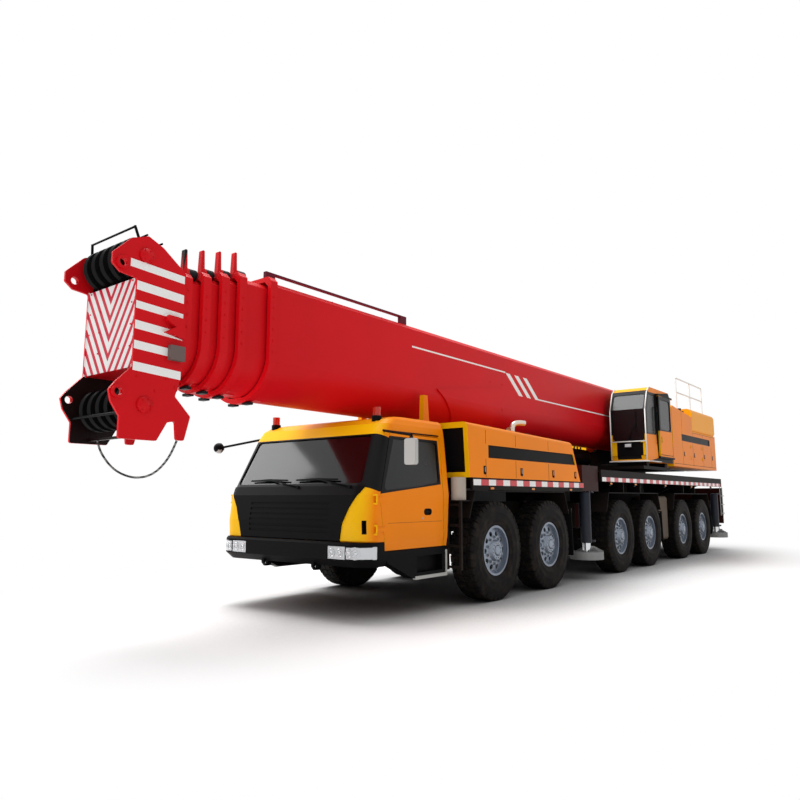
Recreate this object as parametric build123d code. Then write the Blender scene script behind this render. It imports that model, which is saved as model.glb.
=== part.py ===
"""Six-axle all-terrain mobile crane, parked on its wheels with the boom lowered onto its rest.

Lengths are millimetres. Inside this file x is a station measured forward from the first axle,
y is to the crane's left and z is the height above the road. save() moves every piece forward
by SHIFT, so that the finished crane has its origin on the road under the middle of its length.
"""
from build123d import *
import math
import os

# Overall reach of the crane, as stations
FRONT_REACH = 5340
REAR_REACH = -12900
SHIFT = -(FRONT_REACH + REAR_REACH) / 2
HALF_WIDTH = 1500

# Axles, and the kingpins of those that steer
AXLES = [0, -1650, -4700, -6350, -8650, -10300]
RIGID_AXLE = 4
KINGPIN_Y = 1050
KINGPIN_R = 35
PIN_CLEARANCE = 0.5

# Wheels: 14.00 R25 tyre, its sidewall widest at SIDEWALL_R, on a dished disc wheel
TYRE_R = 685
TYRE_W = 385
TYRE_SIDES = 36
SIDEWALL_R = 520
SHOULDER = 34
BEAD_SET_IN = 62
RIM_R = 350
RIM_SEAT_R = 330
RIM_WALL = 14
RIM_LIP = 52
DISC_SET_IN = 95
DISC_DISH = 30
DISC_T = 22
HUB_R = 150
HUB_DEPTH = 160
HUB_BORE_R = 76
HUB_PROUD = 20
HAND_HOLES = 10
HAND_HOLE_R = 36
HAND_HOLE_CIRCLE_R = 235
BEAD_GAP = 0.3

# Gaps between pieces
SEAT = 0.3
RUNNING_GAP = 5
PANEL_GAP = 8

# Main girder of the carrier
FRAME_HALF_W = 420
FRAME_BOTTOM = 800
FRAME_TOP = 1350
FRAME_REAR = -12550
NOSE_BOTTOM = 640
NOSE_BACK = 880

# Axle beams and suspension cylinders
BEAM_HALF_W = 60
BEAM_LOW = 600
BEAM_HIGH = 770
HOUSING_R = 190
STRUT_Y = 620
STRUT_R = 70
STRUT_TOP = 1250

# Carrier cab
CAB_HALF_W = 1300
CAB_ROOF_HALF_W = 1150
CAB_WAIST = 1450
CAB_FLOOR = 800
CAB_FRONT = 2600
CAB_REAR = 980
CAB_ROOF = 2450
CAB_WALL = 60
LEAST_CORNER_R = 40

# Its levels: height, station of the front, half width, station of the rear, front corner radius
CAB_LEVELS = [
    (CAB_FLOOR, CAB_FRONT - 130, CAB_HALF_W - 15, CAB_REAR, 200),
    (CAB_FLOOR + 120, CAB_FRONT - 10, CAB_HALF_W, CAB_REAR - 9, 240),
    (CAB_FLOOR + 330, CAB_FRONT, CAB_HALF_W, CAB_REAR - 24, 240),
    (CAB_WAIST, CAB_FRONT - 45, CAB_HALF_W, CAB_REAR - 48, 230),
    (CAB_ROOF - 230, CAB_FRONT - 420, CAB_ROOF_HALF_W + 38, CAB_REAR - 105, 170),
    (CAB_ROOF - 120, CAB_FRONT - 490, CAB_ROOF_HALF_W + 15, CAB_REAR - 113, 170),
    (CAB_ROOF - 50, CAB_FRONT - 610, CAB_ROOF_HALF_W - 15, CAB_REAR - 118, 160),
    (CAB_ROOF - 10, CAB_FRONT - 800, CAB_ROOF_HALF_W - 60, CAB_REAR - 120, 140),
    (CAB_ROOF, CAB_FRONT - 1000, CAB_ROOF_HALF_W - 120, CAB_REAR - 120, 120),
]

# Carrier cab doors
DOOR_REAR = 1060
DOOR_TOP = 2210
DOOR_REAR_GAP = 22
DOOR_HINGE = 2420
HINGE_Y = CAB_HALF_W + 18
HINGE_STRAP_Y = CAB_HALF_W + 6
HINGE_R = 16
HINGE_HALF_H = 40
HINGE_HEIGHTS = (1050, 1400)

# Beacons on the roof
BEACON_X = 1990
BEACON_Y = 940
BEACON_R = 50
BEACON_SEAT = 2440
BEACON_TOP = 2550

# Mirrors
MIRROR_X = 2350
MIRROR_Y = 1765

# Engine cover and the engine in it
COVER_FRONT = 715
COVER_REAR = -2820
COVER_BOTTOM = 1690
COVER_TOP_FRONT = 2440
COVER_TOP_REAR = 2360
COVER_WALL = 40
TROUGH_HALF_W = 330
TROUGH_BOTTOM = 2100
EXHAUST_X = -1350
EXHAUST_Y = 1000
EXHAUST_R = 45
EXHAUST_TOP = 2550

# Decks over the wheels: front end, rear end, underside of the side board, top
DECK_SIDE = 1480
DECK_PLATE = 30
FRONT_DECK = (620, -2960, 1520, 1690)
REAR_DECK = (-3800, -12350, 1710, 1930)
DECK_INNER = 520

# Outriggers: station between its two beams, the jack's stand-off outside the box
OUTRIGGERS = {"front": -3420, "rear": -12080}
OUT_BEAM_W = 240
OUT_BEAM_H = 400
OUT_BEAM_LOW = 900
OUT_WALL = 20
OUT_BOX_HALF = 1230
JACK_Y = 1365
JACK_TUBE_R = 95
JACK_ROD_R = 72
JACK_TOP = 1510
JACK_LOW = 620
FLOAT_R = 290
FLOAT_LOW = 340
FLOAT_H = 130

# Slewing superstructure
SLEW_X = -7600
RING_R = 950
RING_TOP = 1990
RING_GAP = 0.3
PLATFORM_LOW = 2010
PLATFORM_T = 110
PLATFORM_FRONT = -6350
PLATFORM_REAR = -11950
PLATFORM_STEP = -8700
CHEEK_IN = 560
CHEEK_T = 60
BOOM_PIVOT = (-10200, 3200)
PIVOT_R = 90

# Winch behind the boom foot
WINCH_X = -11500
WINCH_Z = 2640
WINCH_DRUM_R = 250
WINCH_FLANGE_R = 350

# Crane cab
CCAB_IN = 670
CCAB_OUT = 1480
CCAB_FRONT = -6400
CCAB_REAR = -8120
CCAB_LOW = 2200
CCAB_ROOF = 3850
CCAB_WALL = 50
CCAB_DOOR_LOW = 2330
CCAB_DOOR_HIGH = 3700

# Houses beside the boom
HOUSE_FRONT = -8200
HOUSE_REAR = -11950
HOUSE_LOW = 2150
TANK_FRONT = -9800
HOUSE_IN = 690
HOUSE_OUT = 1480
HOUSE_TOP = 3600
TANK_TOP = 3680
RAIL_TOP = 4400
RAIL_R = 17

# Boom
BOOM_TOP = 3930
BOOM_BOTTOM = 2560
BOOM_HALF_W = 520
BOOM_BEND = 60
KEEL_DEPTH = 420
BOOM_TAIL = -10600
BOOM_FRONT = 3450
BOOM_WALL = 12
COLLAR_T = 100
COLLAR_PROUD = 45
FIN_Y = 345
FIN_H = 310
RAIL_STAND = 105
DOUBLER_T = 25
COLLARS = 4
SECTION_SIDE_STEP = 30
SECTION_TOP_STEP = 50
SECTION_BOTTOM_STEP = 26
COLLAR_PITCH = 216
COLLAR_FIRST = 3870
SECTION_TAIL_PITCH = 120
PAD_LENGTH = 300
PAD_HALF_W = 120

# Luffing cylinder
LUFF_BASE = (-6700, 2312)
LUFF_EYE = (-1400, 2350)
BARREL_R = 185
BARREL_LEN = 4300
ROD_R = 115
EYE_R = 120
EYE_HALF_W = 110

# Boom head
HEAD_IN = 450
HEAD_T = 30
HEAD_REAR = COLLAR_FIRST + (COLLARS - 1) * COLLAR_PITCH + 12
ROPE_ANCHOR = (4973, -280, 1998)

# Front bumper
BUMPER_BACK = 2220

# Boom rest behind the cab
REST_X = 520
REST_HALF_W = 640
REST_TOP = 2548

# Tail board and under-run bar
TAIL_BOARD = -12550
TAIL_HALF = 1440
UNDER_RUN_HALF = 1300


# Basic shapes
def block(x0, x1, y0, y1, z0, z1):
    """Box between two stations, two y and two heights."""
    return Solid.make_box(x1 - x0, y1 - y0, z1 - z0, Plane((x0, y0, z0)))


def side_form(outline, y0, y1):
    """Outline of (x, z) points in the side view, from y0 to y1."""
    face = Face(Wire.make_polygon([Vector(x, y0, z) for x, z in outline]))
    return Solid.extrude(face, Vector(0, y1 - y0, 0))


def front_form(outline, x0, x1):
    """Outline of (y, z) points in the front view, from x0 to x1."""
    face = Face(Wire.make_polygon([Vector(x0, y, z) for y, z in outline]))
    return Solid.extrude(face, Vector(x1 - x0, 0, 0))


def plan_form(outline, z0, z1):
    """Outline of (x, y) points seen from above, from z0 to z1."""
    face = Face(Wire.make_polygon([Vector(x, y, z0) for x, y in outline]))
    return Solid.extrude(face, Vector(0, 0, z1 - z0))


def rod_y(x, z, r, y0, y1):
    """Round bar across the crane."""
    return Solid.make_cylinder(r, y1 - y0, Plane((x, y0, z), z_dir=(0, 1, 0)))


def rod_z(x, y, r, z0, z1):
    """Upright round bar."""
    return Solid.make_cylinder(r, z1 - z0, Plane((x, y, z0)))


def rod_x(y, z, r, x0, x1):
    """Round bar along the crane."""
    return Solid.make_cylinder(r, x1 - x0, Plane((x0, y, z), z_dir=(1, 0, 0)))


def bar(start, end, r):
    """Round bar from one point to another."""
    a = Vector(*start)
    b = Vector(*end)
    return Solid.make_cylinder(r, (b - a).length, Plane(a, z_dir=b - a))


def join(*shapes):
    """One part from shapes that meet."""
    return Part() + list(shapes)


def save(name, *shapes):
    """Write the solids of one node, moved to the crane's own origin."""
    solids = []
    for shape in shapes:
        solids += list(shape.solids())
    moved = [solid.moved(Location((SHIFT, 0, 0))) for solid in solids]
    export_step(Compound(children=moved) if len(moved) > 1 else moved[0], f"parts/{name}.step")


def spun_y(profile, x, z):
    """Ring from a profile of (radius, y) points, about an axis across the crane."""
    face = Face(Wire.make_polygon([Vector(x, y, z + r) for r, y in profile]))
    return Solid.revolve(face, 360, Axis((x, 0, z), (0, 1, 0)))


def ring_of_flats(profile, x, z, sides):
    """Ring like spun_y's, with flat faces and with one of its corners at the very bottom."""
    rings = []
    for r, y in profile:
        turns = [2 * math.pi * k / sides for k in range(sides)]
        rings.append([Vector(x + r * math.sin(t), y, z - r * math.cos(t)) for t in turns])
    faces = []
    for a, b in zip(rings, rings[1:] + rings[:1]):
        for k in range(sides):
            n = (k + 1) % sides
            faces.append(Face(Wire.make_polygon([a[k], a[n], b[n], b[k]])))
    return Solid(Shell(faces))


# Wheels and steering
def wheel():
    """Left wheel at the first axle: tyre, and disc wheel with its hand holes and hub."""
    outer = HALF_WIDTH
    inner = HALF_WIDTH - TYRE_W
    bead = RIM_SEAT_R / math.cos(math.pi / TYRE_SIDES)
    tyre = ring_of_flats([
        (bead, inner + BEAD_SET_IN),
        (SIDEWALL_R, inner),
        (TYRE_R, inner + SHOULDER),
        (TYRE_R, outer - SHOULDER),
        (SIDEWALL_R, outer),
        (bead, outer - BEAD_SET_IN),
    ], 0, TYRE_R, TYRE_SIDES)
    seat = RIM_SEAT_R - BEAD_GAP
    well = seat - RIM_WALL
    disc_out = outer - DISC_SET_IN
    hub_face = disc_out + DISC_DISH
    bore = HUB_BORE_R + PIN_CLEARANCE
    rim = spun_y([
        (seat, inner + BEAD_SET_IN),
        (seat, outer - RIM_LIP),
        (RIM_R, outer - RIM_LIP),
        (RIM_R, outer - RIM_LIP + RIM_WALL),
        (well, outer - RIM_LIP + RIM_WALL),
        (well, disc_out),
        (HUB_R, hub_face),
        (HUB_R - 25, outer - HUB_PROUD),
        (bore, outer - HUB_PROUD),
        (bore, disc_out - HUB_DEPTH),
        (HUB_R, disc_out - HUB_DEPTH),
        (HUB_R, hub_face - DISC_T),
        (well, disc_out - DISC_T),
        (well, inner + BEAD_SET_IN),
    ], 0, TYRE_R)
    for k in range(HAND_HOLES):
        turn = 2 * math.pi * (k + 0.5) / HAND_HOLES
        rim -= rod_y(HAND_HOLE_CIRCLE_R * math.sin(turn),
                     TYRE_R + HAND_HOLE_CIRCLE_R * math.cos(turn),
                     HAND_HOLE_R, disc_out - DISC_T, hub_face)
    return tyre, rim


def knuckle(x):
    """Left steering knuckle: two lugs round the beam's boss, kingpin, plate and stub axle."""
    lug_out = KINGPIN_Y + 120
    low = BEAM_LOW - RUNNING_GAP
    high = BEAM_HIGH + RUNNING_GAP
    lugs = [
        block(x - 80, x + 80, KINGPIN_Y - 70, lug_out, high, high + 70),
        block(x - 80, x + 80, KINGPIN_Y - 70, lug_out, low - 70, low),
    ]
    plate = block(x - 80, x + 80, KINGPIN_Y + 80, lug_out, low - 70, high + 70)
    pin = rod_z(x, KINGPIN_Y, KINGPIN_R, low - 90, high + 90)
    stub = rod_y(x, TYRE_R, HUB_BORE_R, lug_out, HALF_WIDTH - HUB_PROUD - 10)
    return join(plate, *lugs, pin, stub)


def axle_beam(x, steered):
    """Axle beam with its ends and the two suspension cylinders on each side."""
    pieces = [block(x - BEAM_HALF_W, x + BEAM_HALF_W, -KINGPIN_Y + 60, KINGPIN_Y - 60,
                    BEAM_LOW, BEAM_HIGH)]
    pieces.append(spun_y([(0, -260), (90, -260), (HOUSING_R, -90), (HOUSING_R, 90), (90, 260), (0, 260)],
                         x, TYRE_R))
    for side in (1, -1):
        y = side * KINGPIN_Y
        if steered:
            pieces.append(rod_z(x, y, 65, BEAM_LOW, BEAM_HIGH))
            pieces.append(block(x - 60, x + 60, min(y, y - side * 70), max(y, y - side * 70),
                                BEAM_LOW, BEAM_HIGH))
        else:
            tip = side * (HALF_WIDTH - HUB_PROUD - 10)
            pieces.append(rod_y(x, TYRE_R, HUB_BORE_R, min(0, tip), max(0, tip)))
        pieces.append(rod_z(x, side * STRUT_Y, STRUT_R, BEAM_LOW + 20, STRUT_TOP))
    beam = join(*pieces)
    if steered:
        for side in (1, -1):
            beam -= rod_z(x, side * KINGPIN_Y, KINGPIN_R + PIN_CLEARANCE, 500, 900)
    return beam


# Carrier
FUEL_TANK = (-7750, -7150, 480, 1450)
FUEL_TANK_IN = 905
FUEL_TANK_OUT = 1400
LOCKER = (-3740, -3040, 1530, 1990)
LOCKER_IN = 440
LOCKER_OUT = 1440


def chassis_frame():
    """Box girder with its nose, suspension brackets, outrigger boxes and slewing ring."""
    pieces = [
        block(FRAME_REAR, NOSE_BACK, -FRAME_HALF_W, FRAME_HALF_W, FRAME_BOTTOM + 100, FRAME_TOP),
        side_form([(NOSE_BACK - 300, FRAME_TOP), (NOSE_BACK - 300, FRAME_BOTTOM + 100),
                   (NOSE_BACK + 250, NOSE_BOTTOM), (BUMPER_BACK, NOSE_BOTTOM),
                   (BUMPER_BACK, CAB_FLOOR), (NOSE_BACK, CAB_FLOOR), (NOSE_BACK, FRAME_TOP)],
                  -FRAME_HALF_W, FRAME_HALF_W),
        side_form([(REST_X - 90, FRAME_TOP), (REST_X + 90, FRAME_TOP), (REST_X + 90, REST_TOP),
                   (REST_X - 90, REST_TOP)], -160, 160),
        block(REST_X - 70, REST_X + 70, -REST_HALF_W, REST_HALF_W, REST_TOP - 78, REST_TOP),
        block(REAR_REACH, TAIL_BOARD + 30, -UNDER_RUN_HALF, UNDER_RUN_HALF, 450, 520),
        block(TAIL_BOARD - 50, TAIL_BOARD + 30, -UNDER_RUN_HALF, UNDER_RUN_HALF, 450, 900),
        block(TAIL_BOARD, TAIL_BOARD + 30, -TAIL_HALF, TAIL_HALF, 700, 1680),
    ]
    for side in (1, -1):
        lo, hi = sorted((side * (BOOM_HALF_W + 40), side * REST_HALF_W))
        pieces.append(side_form([(REST_X - 70, REST_TOP - 68), (REST_X + 70, REST_TOP - 68),
                                 (REST_X + 50, 2900), (REST_X - 30, 2900)], lo, hi))
        for x in (FUEL_TANK[0] + 100, FUEL_TANK[1] - 100):
            lo, hi = sorted((side * 600, side * (FUEL_TANK_IN - SEAT)))
            pieces.append(block(x - 40, x + 40, lo, hi, 1150, 1300))
        lo, hi = sorted((side * 300, side * 900))
        x0, x1, z0, z1 = LOCKER
        pieces.append(block(x0 + 60, x1 - 60, lo, hi, FRAME_TOP - 10, z0 - SEAT))
    for x in AXLES:
        for y0, y1 in ((FRAME_HALF_W, STRUT_Y + 90), (-STRUT_Y - 90, -FRAME_HALF_W)):
            pieces.append(block(x - 110, x + 110, y0, y1, STRUT_TOP - 50, FRAME_TOP))
    box_low = OUT_BEAM_LOW - RUNNING_GAP
    box_high = OUT_BEAM_LOW + OUT_BEAM_H + RUNNING_GAP
    for x in OUTRIGGERS.values():
        half = OUT_BEAM_W + RUNNING_GAP + 1.5 * OUT_WALL
        pieces.append(block(x - half, x + half, -OUT_BOX_HALF, OUT_BOX_HALF,
                            box_low - OUT_WALL, box_high + OUT_WALL))
    pieces.append(rod_z(SLEW_X, 0, RING_R - 60, FRAME_TOP - 300, RING_TOP))
    frame = join(*pieces)
    centres = [x + side * (OUT_BEAM_W + OUT_WALL) / 2 for x in OUTRIGGERS.values() for side in (1, -1)]
    gap = OUT_BEAM_W / 2 + RUNNING_GAP / 2
    for centre in centres:
        frame -= block(centre - gap, centre + gap, -3 * HALF_WIDTH, 3 * HALF_WIDTH, box_low, box_high)
    pads = []
    for number, centre in enumerate(centres):
        side = 1 if number % 2 == 0 else -1
        lo, hi = sorted((side * (OUT_BOX_HALF - 130), side * OUT_BOX_HALF))
        pads.append(block(centre - 100, centre + 100, lo, hi, box_low - 5, OUT_BEAM_LOW - SEAT))
        pads.append(block(centre - 100, centre + 100, lo, hi, OUT_BEAM_LOW + OUT_BEAM_H + SEAT,
                          box_high + 5))
    frame = join(frame, *pads)
    for x in AXLES:
        for side in (1, -1):
            frame -= rod_z(x, side * STRUT_Y, STRUT_R + SEAT, STRUT_TOP - 200, STRUT_TOP + SEAT)
    frame -= rod_z(SLEW_X, 0, 600, FRAME_TOP, RING_TOP + 10)
    solids = [frame]
    for side in (1, -1):
        x0, x1, z0, z1 = FUEL_TANK
        lo, hi = sorted((side * FUEL_TANK_IN, side * FUEL_TANK_OUT))
        solids.append(rounded_front([(lo, z0), (hi, z0), (hi, z1), (lo, z1)], 70, x0, x1))
        x0, x1, z0, z1 = LOCKER
        lo, hi = sorted((side * LOCKER_IN, side * LOCKER_OUT))
        solids.append(block(x0, x1, lo, hi, z0, z1))
    return solids


def engine_block():
    """Engine and gearbox as one plain mass between the front decks."""
    return block(-2100, -300, -430, 430, FRAME_TOP, TROUGH_BOTTOM - COVER_WALL - 10)


def rounded_plan(z, front, half, rear, radius):
    """Rectangle seen from above at one height, with its two front corners rounded."""
    face = Face(Wire.make_polygon([Vector(rear, -half, z), Vector(front, -half, z),
                                   Vector(front, half, z), Vector(rear, half, z)]))
    corners = [v for v in face.vertices() if v.X > front - 1]
    return face.fillet_2d(radius, corners).outer_wire()


def cab_form(inset):
    """Carrier cab as a solid, its faces drawn in by inset."""
    wires = []
    for z, front, half, rear, radius in CAB_LEVELS:
        if z == CAB_FLOOR:
            z += inset
        elif z > DOOR_TOP + 20:
            z -= inset
        wires.append(rounded_plan(z, front - inset, half - inset, rear + inset,
                                  max(radius - inset, LEAST_CORNER_R)))
    return Solid.make_loft(wires, True)


def cab_width(inset):
    """Front view of the carrier cab run along the crane, its sides drawn in by inset."""
    right = [(half - inset, z) for z, front, half, rear, radius in CAB_LEVELS]
    left = [(-y, z) for y, z in reversed(right)]
    return front_form(right + left, 0, FRONT_REACH)


def door_outline(grow, grow_rear):
    """Side view of the left carrier door, grown outwards by grow and at its rear by grow_rear."""
    g = grow
    return [(DOOR_REAR - grow_rear, CAB_FLOOR), (2240 + g, CAB_FLOOR), (2345 + g, CAB_WAIST - 20),
            (2025 + g, DOOR_TOP + g), (DOOR_REAR - 60 - grow_rear, DOOR_TOP + g),
            (DOOR_REAR - grow_rear, CAB_WAIST - 20)]


DOOR_WINDOW = [(1115, 1620), (1560, 1560), (2270, 1500), (1975, 2140), (1075, 2140)]
WINDSCREEN = [(-1130, 1590), (1130, 1590), (1040, 2180), (-1040, 2180)]
REAR_WINDOW = [(-800, 1700), (800, 1700), (760, 2200), (-760, 2200)]
GLASS_T = 8
HANDLE_X = 1400
HANDLE_Z = 1240
HANDLE_R = 42


def rounded_side(outline, radius, y0, y1):
    """Side view outline with every corner rounded, from y0 to y1."""
    face = Face(Wire.make_polygon([Vector(x, y0, z) for x, z in outline]))
    face = face.fillet_2d(radius, face.vertices())
    return Solid.extrude(face, Vector(0, y1 - y0, 0))


def rounded_front(outline, radius, x0, x1):
    """Front view outline with every corner rounded, from x0 to x1."""
    face = Face(Wire.make_polygon([Vector(x0, y, z) for y, z in outline]))
    face = face.fillet_2d(radius, face.vertices())
    return Solid.extrude(face, Vector(x1 - x0, 0, 0))


def carrier_cab():
    """Cab shell, its two doors and its fixed glass."""
    outer = cab_form(0)
    shell = outer - cab_form(CAB_WALL)
    shell -= rounded_front(WINDSCREEN, 50, 2000, 2700)
    shell -= rounded_front(REAR_WINDOW, 50, 600, 1000)
    doors = []
    for side in (1, -1):
        lo, hi = sorted((side * 900, side * 1400))
        blank = side_form(door_outline(0, 0), lo, hi)
        hole = side_form(door_outline(PANEL_GAP, DOOR_REAR_GAP), lo, hi) - cab_width(CAB_WALL + PANEL_GAP)
        door = ((outer & blank) - cab_width(CAB_WALL)) - rounded_side(DOOR_WINDOW, 45, lo, hi)
        lo, hi = sorted((side * (CAB_HALF_W - 20), side * (CAB_HALF_W + 10)))
        door -= join(rod_y(HANDLE_X - HANDLE_R, HANDLE_Z, HANDLE_R, lo, hi),
                     rod_y(HANDLE_X + HANDLE_R, HANDLE_Z, HANDLE_R, lo, hi),
                     block(HANDLE_X - HANDLE_R, HANDLE_X + HANDLE_R, lo, hi,
                           HANDLE_Z - HANDLE_R, HANDLE_Z + HANDLE_R))
        for z in HINGE_HEIGHTS:
            strap = sorted((side * (CAB_HALF_W - 10), side * (CAB_HALF_W + 12)))
            door = join(door, rod_z(DOOR_HINGE, side * HINGE_Y, HINGE_R, z - HINGE_HALF_H, z + HINGE_HALF_H),
                        block(DOOR_HINGE - 170, DOOR_HINGE - 150, *strap, z - 25, z + 25),
                        block(DOOR_HINGE - 170, DOOR_HINGE, side * HINGE_STRAP_Y - 6,
                              side * HINGE_STRAP_Y + 6, z - 25, z + 25))
        shell -= hole
        lo, hi = sorted((side * 1205, side * 1235))
        shell -= block(CAB_FRONT - 95, CAB_FRONT, lo, hi, CAB_FLOOR + 210, CAB_FLOOR + 350)
        doors.append(door)
    for side in (1, -1):
        shell = join(shell, rod_z(BEACON_X, side * BEACON_Y, BEACON_R + 15, BEACON_SEAT - 90, BEACON_SEAT),
                     bar((2100, side * 1140, 2235), (MIRROR_X, side * MIRROR_Y, 2130), 16))
        for z in HINGE_HEIGHTS:
            lo, hi = sorted((side * (CAB_HALF_W - 30), side * (HINGE_Y + 18)))
            for low in (z + HINGE_HALF_H + SEAT, z - HINGE_HALF_H - SEAT - 20):
                shell = join(shell, block(DOOR_HINGE - 18, DOOR_HINGE + 18, lo, hi, low, low + 20))
    y = MIRROR_Y
    shell = join(shell, bar((MIRROR_X, y, 2130), (MIRROR_X, y, 2070), 16),
                 rounded_front([(y - 80, 1790), (y + 75, 1790), (y + 75, 2090), (y - 80, 2090)], 30,
                               MIRROR_X - 30, MIRROR_X + 30),
                 Solid.make_sphere(75, Plane((MIRROR_X, -y, 2130)), -90, 90, 360))
    pane = cab_form(20) - cab_form(20 + GLASS_T)
    panes = [pane & rounded_front(WINDSCREEN, 50, 2000, 2700),
             pane & rounded_front(REAR_WINDOW, 50, 600, 1000)]
    return shell, doors, panes


def cab_interior():
    """Dashboard, steering wheel and two seats, standing on the cab floor."""
    floor = CAB_FLOOR + CAB_WALL + SEAT
    pieces = [side_form([(2050, floor), (2380, floor), (2380, 1380), (2200, 1440), (2050, 1380)],
                        -1050, 1050)]
    for y in (650, -650):
        pieces.append(join(
            block(1250, 1650, y - 230, y + 230, floor, 1180),
            block(1200, 1700, y - 250, y + 250, 1180, 1300),
            side_form([(1230, 1300), (1350, 1300), (1260, 1950), (1150, 1950)],
                      y - 240, y + 240)))
    return pieces


GRILLE_EDGE = [(890, 908), (930, 1100), (1020, 1300), (1150, 1480), (1190, 1560)]
GRILLE_HALF_W = 720
GRILLE_SLOTS = 6
LENS_LOW = 712
LENS_HIGH = 858


def bumper_form(inset):
    """Bumper with its corners wrapped round to the doors, its faces drawn in by inset."""
    levels = [(620, 2550, 1262, 220), (700, 2640, 1312, 260), (880, 2640, 1312, 260),
              (905, 2612, 1306, 240)]
    wires = [rounded_plan(z, front - inset, half - inset, BUMPER_BACK, radius - inset)
             for z, front, half, radius in levels]
    return Solid.make_loft(wires, True)


def front_bumper():
    """Bumper with lamp recesses and tow lugs, grille panel above it, and the two door steps."""
    bumper = bumper_form(0) - cab_form(-SEAT)
    bumper -= block(BUMPER_BACK - 10, 2275, -1400, 1400, CAB_FLOOR - RUNNING_GAP, 1000)
    for side in (1, -1):
        lo, hi = sorted((side * 740, side * 1320))
        recess = block(2400, 2700, lo, hi, LENS_LOW - 2, LENS_HIGH + 2)
        bumper -= (recess & bumper_form(-1)) - bumper_form(40)
        lo, hi = sorted((side * 430, side * 470))
        lug = side_form([(2440, 640), (2590, 660), (2600, 600), (2560, 555), (2480, 555)], lo, hi)
        bumper = join(bumper, lug - rod_y(2545, 597, 22, lo - 1, hi + 1))
    shape = GRILLE_EDGE + [(-y, z) for y, z in reversed(GRILLE_EDGE)]
    panel = (cab_form(-12) - cab_form(-SEAT)) & front_form(shape, 2300, 2700)
    for k in range(GRILLE_SLOTS):
        z = 1000 + k * 66
        panel -= block(2300, 2700, -GRILLE_HALF_W, GRILLE_HALF_W, z, z + 30) - cab_form(-4)
    pieces = [bumper, panel]
    for side in (1, -1):
        lo, hi = sorted((side * 1150, side * 1290))
        step = side_form([(2200, 790), (2200, 660), (1700, 440), (1000, 440), (1000, 790)], lo, hi)
        lo, hi = sorted((side * 1200, side * 1300))
        step -= block(1080, 1620, lo, hi, 500, 700)
        lo, hi = sorted((side * 1100, side * 1200))
        step = join(step, block(1100, 2100, lo, hi, 740, CAB_FLOOR - SEAT))
        lo, hi = sorted((side * 1255, side * 1300))
        pieces.append(join(step, block(1000, 1660, lo, hi, 420, 460), block(980, 1010, lo, hi, 420, 750)))
    return pieces


def lamps():
    """Headlamps and indicators in the bumper's corners, beacons on the roof, and tail lamps."""
    pieces = []
    lens = bumper_form(6) - bumper_form(40 - SEAT) - cab_form(-SEAT)
    for side in (1, -1):
        for inner, outer in ((742, 1010), (1020, 1318)):
            lo, hi = sorted((side * inner, side * outer))
            pieces.append(lens & block(2402, 2700, lo, hi, LENS_LOW, LENS_HIGH))
        pieces.append(rod_z(BEACON_X, side * BEACON_Y, BEACON_R, BEACON_SEAT + SEAT, BEACON_TOP))
        lo, hi = sorted((side * 1150, side * 1420))
        pieces.append(block(TAIL_BOARD - 12, TAIL_BOARD - SEAT, lo, hi, 1400, 1520))
    return pieces


BAND_RECESS = 15
COVER_EDGE_R = 70


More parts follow.
